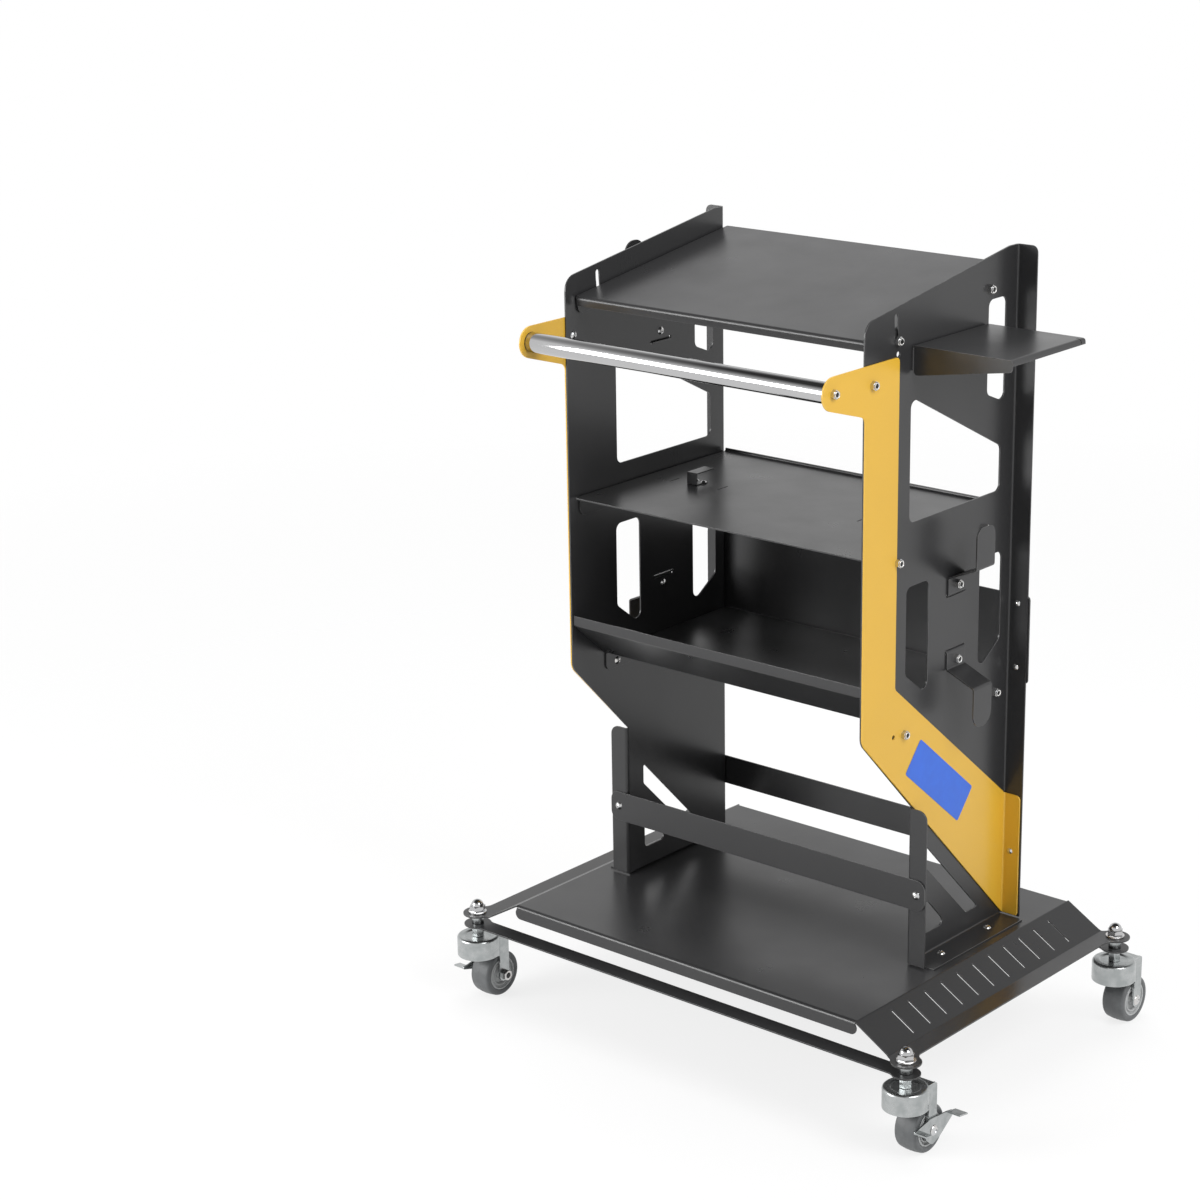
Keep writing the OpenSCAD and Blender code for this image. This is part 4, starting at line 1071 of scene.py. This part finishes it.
    def stem_parts(self) -> None:
        """Cap nuts, washers, spacers and balls on the caster stems."""
        upward = Vector((0, 0, 1))
        low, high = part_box("acorn_nuts")
        stands = self.upright("acorn_nuts")
        caps = self.cap.on(stands, {"Flats": stands[0].radius * math.sqrt(3), "Height": self.cap_hexagon,
                                    "Dome": high.z - low.z - self.cap_hexagon, "Bore": self.cap_bore,
                                    "Depth": self.cap_hexagon + self.cap_neck})
        self.combine("acorn_nuts", Coat.CHROME, [caps])
        flat = self.upright("stem_washers")
        self.combine("stem_washers", Coat.BOLT, [self.crimp.on(
            flat, {"Inner": self.stem_bore, "Outer": flat[0].radius, "Height": flat[0].length})])
        tubes = self.upright("stem_spacers")
        spacer = SmallPart("spacer_tube", ("Inner", "Outer", "Height"), plain_ring,
                           self.shop.paint[Coat.ZINC])
        self.combine("stem_spacers", Coat.ZINC, [spacer.on(
            tubes, {"Inner": self.stem_bore, "Outer": tubes[0].radius, "Height": tubes[0].length})])
        balls = self.upright("swivel_balls")
        centres = [Seat(b.foot + upward * b.length / 2, upward, 0, 0) for b in balls]
        self.combine("swivel_balls", Coat.BOLT, [self.ball.on(centres, {"Radius": balls[0].length / 2})])

    def upright(self, node: str) -> list[Seat]:
        """Seats of solids that stand along Z, foot down."""
        seats = []
        for solid in self.islands(node):
            xs, ys, zs = ([p[i] for p in solid] for i in range(3))
            foot = Vector(((min(xs) + max(xs)) / 2, (min(ys) + max(ys)) / 2, min(zs)))
            wide = max(max(xs) - min(xs), max(ys) - min(ys)) / 2
            seats.append(Seat(foot, Vector((0, 0, 1)), max(zs) - min(zs), wide))
        return seats

    def axle(self, node: str) -> None:
        """An axle bolt and its nut, found by their lengths."""
        seats = sorted((self.seat_of(s) for s in self.islands(node)), key=lambda s: -s.length)
        flats = seats[1].radius * math.sqrt(3)
        self.combine(node, Coat.BOLT, self.bolt_set(
            seats[:1], seats[1:], self.axle_shank, flats, seats[1].length, 0))


# Handle and casters


@dataclass(frozen=True)
class Handle:
    """Chrome tube between the ears and the plug in each end."""

    shop: Workshop
    wall: float = 1.5 * MM
    rim: float = 1.5 * MM
    bolt: float = 3.05 * MM
    plug: float = 22 * MM
    play: float = 0.05 * MM
    tube_round: float = 0.4 * MM
    plug_round: float = 0.5 * MM

    def build(self) -> None:
        """Turns the tube and the plugs."""
        low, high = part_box("handle_tube")
        centre, half = (low + high) / 2, (high.x - low.x) / 2
        radius = (high.z - low.z) / 2
        inner = radius - self.wall
        tube = rounded([(-half, inner), (half, inner), (half, radius), (-half, radius)], self.tube_round)
        self.finish("handle_tube", Coat.CHROME, [lathe(tube, 96, Matrix.Translation(centre))])
        _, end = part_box("handle_plugs")
        deep, flange, body = end.x - self.plug, end.x - self.rim, inner - self.play
        plugs = []
        for side in (-1, 1):
            to_frame = Matrix.Translation(centre) @ Matrix.Diagonal((side, 1, 1, 1))
            outline = rounded([(deep, self.bolt), (end.x, self.bolt), (end.x, radius), (flange, radius),
                               (flange, body), (deep, body)], self.plug_round)
            plugs.append(lathe(outline, 72, to_frame))
        self.finish("handle_plugs", Coat.PLASTIC, plugs)

    def finish(self, node: str, coat: Coat, parts: Sequence[bmesh.types.BMesh]) -> None:
        """Joins turned parts into the piece for a node."""
        whole = bmesh.new()
        for part in parts:
            passing = settled("turned", part)
            whole.from_mesh(passing)
            bpy.data.meshes.remove(passing)
        mesh = settled(node + "_finished", whole)
        self.shop.smooth(mesh, 40)
        self.shop.place(node + "_finished", mesh, node, coat)


@dataclass(frozen=True)
class Wheels:
    """Four wheels: a ringed hub and a crowned tread with a parting line."""

    shop: Workshop
    handle: Handle
    play: float = 0.05 * MM

    def build(self) -> None:
        """Turns each hub and tread."""
        for corner in CORNERS:
            low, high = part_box(corner + "_tread")
            centre = (low + high) / 2
            to_frame = Matrix.Translation(centre)
            radius, half = (high.z - low.z) / 2, (high.x - low.x) / 2
            hub_low, hub_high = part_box(corner + "_hub")
            hub_half, hub_r = (hub_high.x - hub_low.x) / 2, (hub_high.z - hub_low.z) / 2
            hub, tread = self.hub(hub_half, hub_r, half), self.tread(half, radius, hub_r + self.play)
            self.handle.finish(corner + "_hub", Coat.HUB, [lathe(hub, 96, to_frame)])
            self.handle.finish(corner + "_tread", Coat.TREAD, [lathe(tread, 128, to_frame)])

    @staticmethod
    def hub(boss: float, radius: float, tread: float) -> list[Point]:
        """Outline of the hub.

        Args:
            boss: Half its width over the bosses.
            radius: Its outside radius.
            tread: Half the tread's width.

        Returns:
            Points as (along, radius).
        """
        face = tread - 0.6 * MM
        bore, neck, foot, dish = 4.05 * MM, 7.2 * MM, 8.2 * MM, 9 * MM
        web, groove = face - 5 * MM, face - 3 * MM
        half = [(boss, bore), (boss, neck), (face - 4.6 * MM, foot), (web, dish),
                (web, 0.6 * radius), (face - 1.2 * MM, 0.68 * radius), (face - 1 * MM, 0.75 * radius),
                (groove, 0.79 * radius), (groove, 0.87 * radius), (face - 0.3 * MM, 0.9 * radius),
                (face, 0.92 * radius), (face, radius)]
        return rounded(half + [(-x, r) for x, r in reversed(half)], 0.5 * MM, 3)

    @staticmethod
    def tread(half: float, radius: float, inner: float) -> list[Point]:
        """Outline of the tread.

        Args:
            half: Half its width.
            radius: Its outside radius.
            inner: Its inside radius.

        Returns:
            Points as (along, radius).
        """
        crown, seam, shoulder, sag, turns = 1 * MM, 0.25 * MM, 4 * MM, 0.15 * MM, 6
        side = [(half - 1 * MM, inner), (half - 0.4 * MM, inner + 1 * MM), (half, radius - 6 * MM)]
        for i in range(turns + 1):
            turn = math.radians(90 * i / turns)
            side.append((half - shoulder + shoulder * math.cos(turn),
                         radius - crown - shoulder + shoulder * math.sin(turn)))
        side += [(half / 3, radius - sag), (seam, radius - sag), (seam / 2, radius)]
        return side + [(-x, r) for x, r in reversed(side)]


# Surroundings


@dataclass(frozen=True)
class Lamp:
    """One soft box."""

    name: str
    place: tuple[float, float, float]
    size: float
    watts: float
    mirrored: bool = True


@dataclass(frozen=True)
class Studio:
    """Camera at the photograph's angle, pale floor, soft lamps and a white surround."""

    place: tuple[float, float, float] = (2.1113, -2.7655, 1.6507)
    azimuth: float = 41.5186
    elevation: float = 17.3406
    roll: float = -1.0051
    lens: float = 86.73
    target: tuple[float, float, float] = (0, 0, 0.5)
    lamps: tuple[Lamp, ...] = (
        Lamp("key_lamp", (2.6, -0.4, 2.6), 1.6, 60),
        Lamp("top_lamp", (-0.4, 0.6, 3.0), 1.8, 30, False),
        Lamp("front_lamp", (-2.0, -3.0, 1.3), 1.7, 84),
    )
    ambient: float = 0.55
    ceiling: tuple[float, float] = (0.45, 0.82)
    darkening: float = 0.95
    floor_radius: float = 6.0
    floor_drop: float = 0.4 * MM
    floor_fade: tuple[float, float] = (1.1, 3.2)
    floor_colour: Colour = (0.93, 0.93, 0.93, 1)
    floor_glow: float = 0.8

    def build(self) -> None:
        """Makes everything round the cart."""
        self.camera()
        for lamp in self.lamps:
            self.lamp(lamp)
        self.surround()
        self.floor()
        bpy.context.scene.view_settings.view_transform = "Standard"

    def camera(self) -> None:
        """The photograph's camera."""
        az, el, roll = (math.radians(a) for a in (self.azimuth, self.elevation, self.roll))
        back = Vector((math.sin(az) * math.cos(el), -math.cos(az) * math.cos(el), math.sin(el)))
        right = Vector((math.cos(az), math.sin(az), 0))
        up = back.cross(right)
        tilted = right * math.cos(roll) + up * math.sin(roll)
        upright = up * math.cos(roll) - right * math.sin(roll)
        data = bpy.data.cameras.new("camera")
        data.lens, data.sensor_width = self.lens, 36
        data.clip_start, data.clip_end = 0.1, 100
        camera = linked("camera", data)
        turn = Matrix((tilted, upright, back)).transposed().to_4x4()
        camera.matrix_world = Matrix.Translation(Vector(self.place)) @ turn
        bpy.context.scene.camera = camera

    def lamp(self, lamp: Lamp) -> None:
        """A square soft box that faces the cart."""
        data = bpy.data.lights.new(lamp.name, "AREA")
        data.size, data.energy = lamp.size, lamp.watts
        box = linked(lamp.name, data)
        box.visible_glossy = lamp.mirrored
        box.location = lamp.place
        box.rotation_mode = "QUATERNION"
        box.rotation_quaternion = (Vector(self.target) - Vector(lamp.place)).to_track_quat("-Z", "Y")

    @staticmethod
    def seen(graph: Graph) -> Sock:
        """1 for rays from the camera, a mirror or glass."""
        rays = [graph.node("ShaderNodeLightPath", out=name)
                for name in ("Is Camera Ray", "Is Glossy Ray", "Is Transmission Ray")]
        return graph.maths("MAXIMUM", graph.maths("MAXIMUM", rays[0], rays[1]), rays[2])

    def surround(self) -> None:
        """White with a dark ceiling where it is seen, and dimmer where it only lights."""
        world = bpy.data.worlds.new("surround")
        graph = blank(world)
        way = graph.node("ShaderNodeTexCoord", out="Generated")
        height = graph.node("ShaderNodeSeparateXYZ", {}, {0: way}, "Z")
        dim = graph.node("ShaderNodeBackground", {}, {"Color": WHITE, "Strength": self.ambient})
        white = graph.node("ShaderNodeBackground", {}, {
            "Color": WHITE, "Strength": 1.0 - height.over(*self.ceiling) * self.darkening})
        mixed = graph.node("ShaderNodeMixShader", {}, {0: self.seen(graph), 1: dim, 2: white})
        graph.node("ShaderNodeOutputWorld", {}, {"Surface": mixed})
        bpy.context.scene.world = world

    def floor(self) -> None:
        """A pale disc that fades into the white before its edge."""
        work = bmesh.new()
        bmesh.ops.create_circle(work, cap_ends=True, segments=96, radius=self.floor_radius,
                                matrix=Matrix.Translation((0, 0, -self.floor_drop)))
        mesh = settled("floor", work)
        made = bpy.data.materials.new("pale_floor")
        graph = blank(made)
        place = graph.node("ShaderNodeTexCoord", out="Object")
        far = graph.node("ShaderNodeVectorMath", {"operation": "LENGTH"}, {0: place}, "Value")
        matt = graph.node("ShaderNodeBsdfDiffuse", {}, {"Color": self.floor_colour})
        glow = graph.node("ShaderNodeEmission", {}, {"Color": WHITE, "Strength": 1.0})
        lit = graph.node("ShaderNodeMixShader", {}, {0: self.seen(graph) * self.floor_glow, 1: matt, 2: glow})
        clear = graph.node("ShaderNodeBsdfTransparent")
        faded = graph.node("ShaderNodeMixShader", {}, {0: far.over(*self.floor_fade), 1: lit, 2: clear})
        graph.node("ShaderNodeOutputMaterial", {}, {"Surface": faded})
        mesh.materials.append(made)
        linked("floor", mesh)


def main() -> None:
    """Builds the cart's looks and its surroundings, in order."""
    logging.basicConfig(level=logging.INFO, format="%(name)s: %(message)s")
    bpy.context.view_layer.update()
    Studio().build()
    shop = Workshop()
    Sheetwork(shop).build()
    Fasteners(shop).build()
    handle = Handle(shop)
    handle.build()
    Wheels(shop, handle).build()


if __name__ == "__main__":
    main()
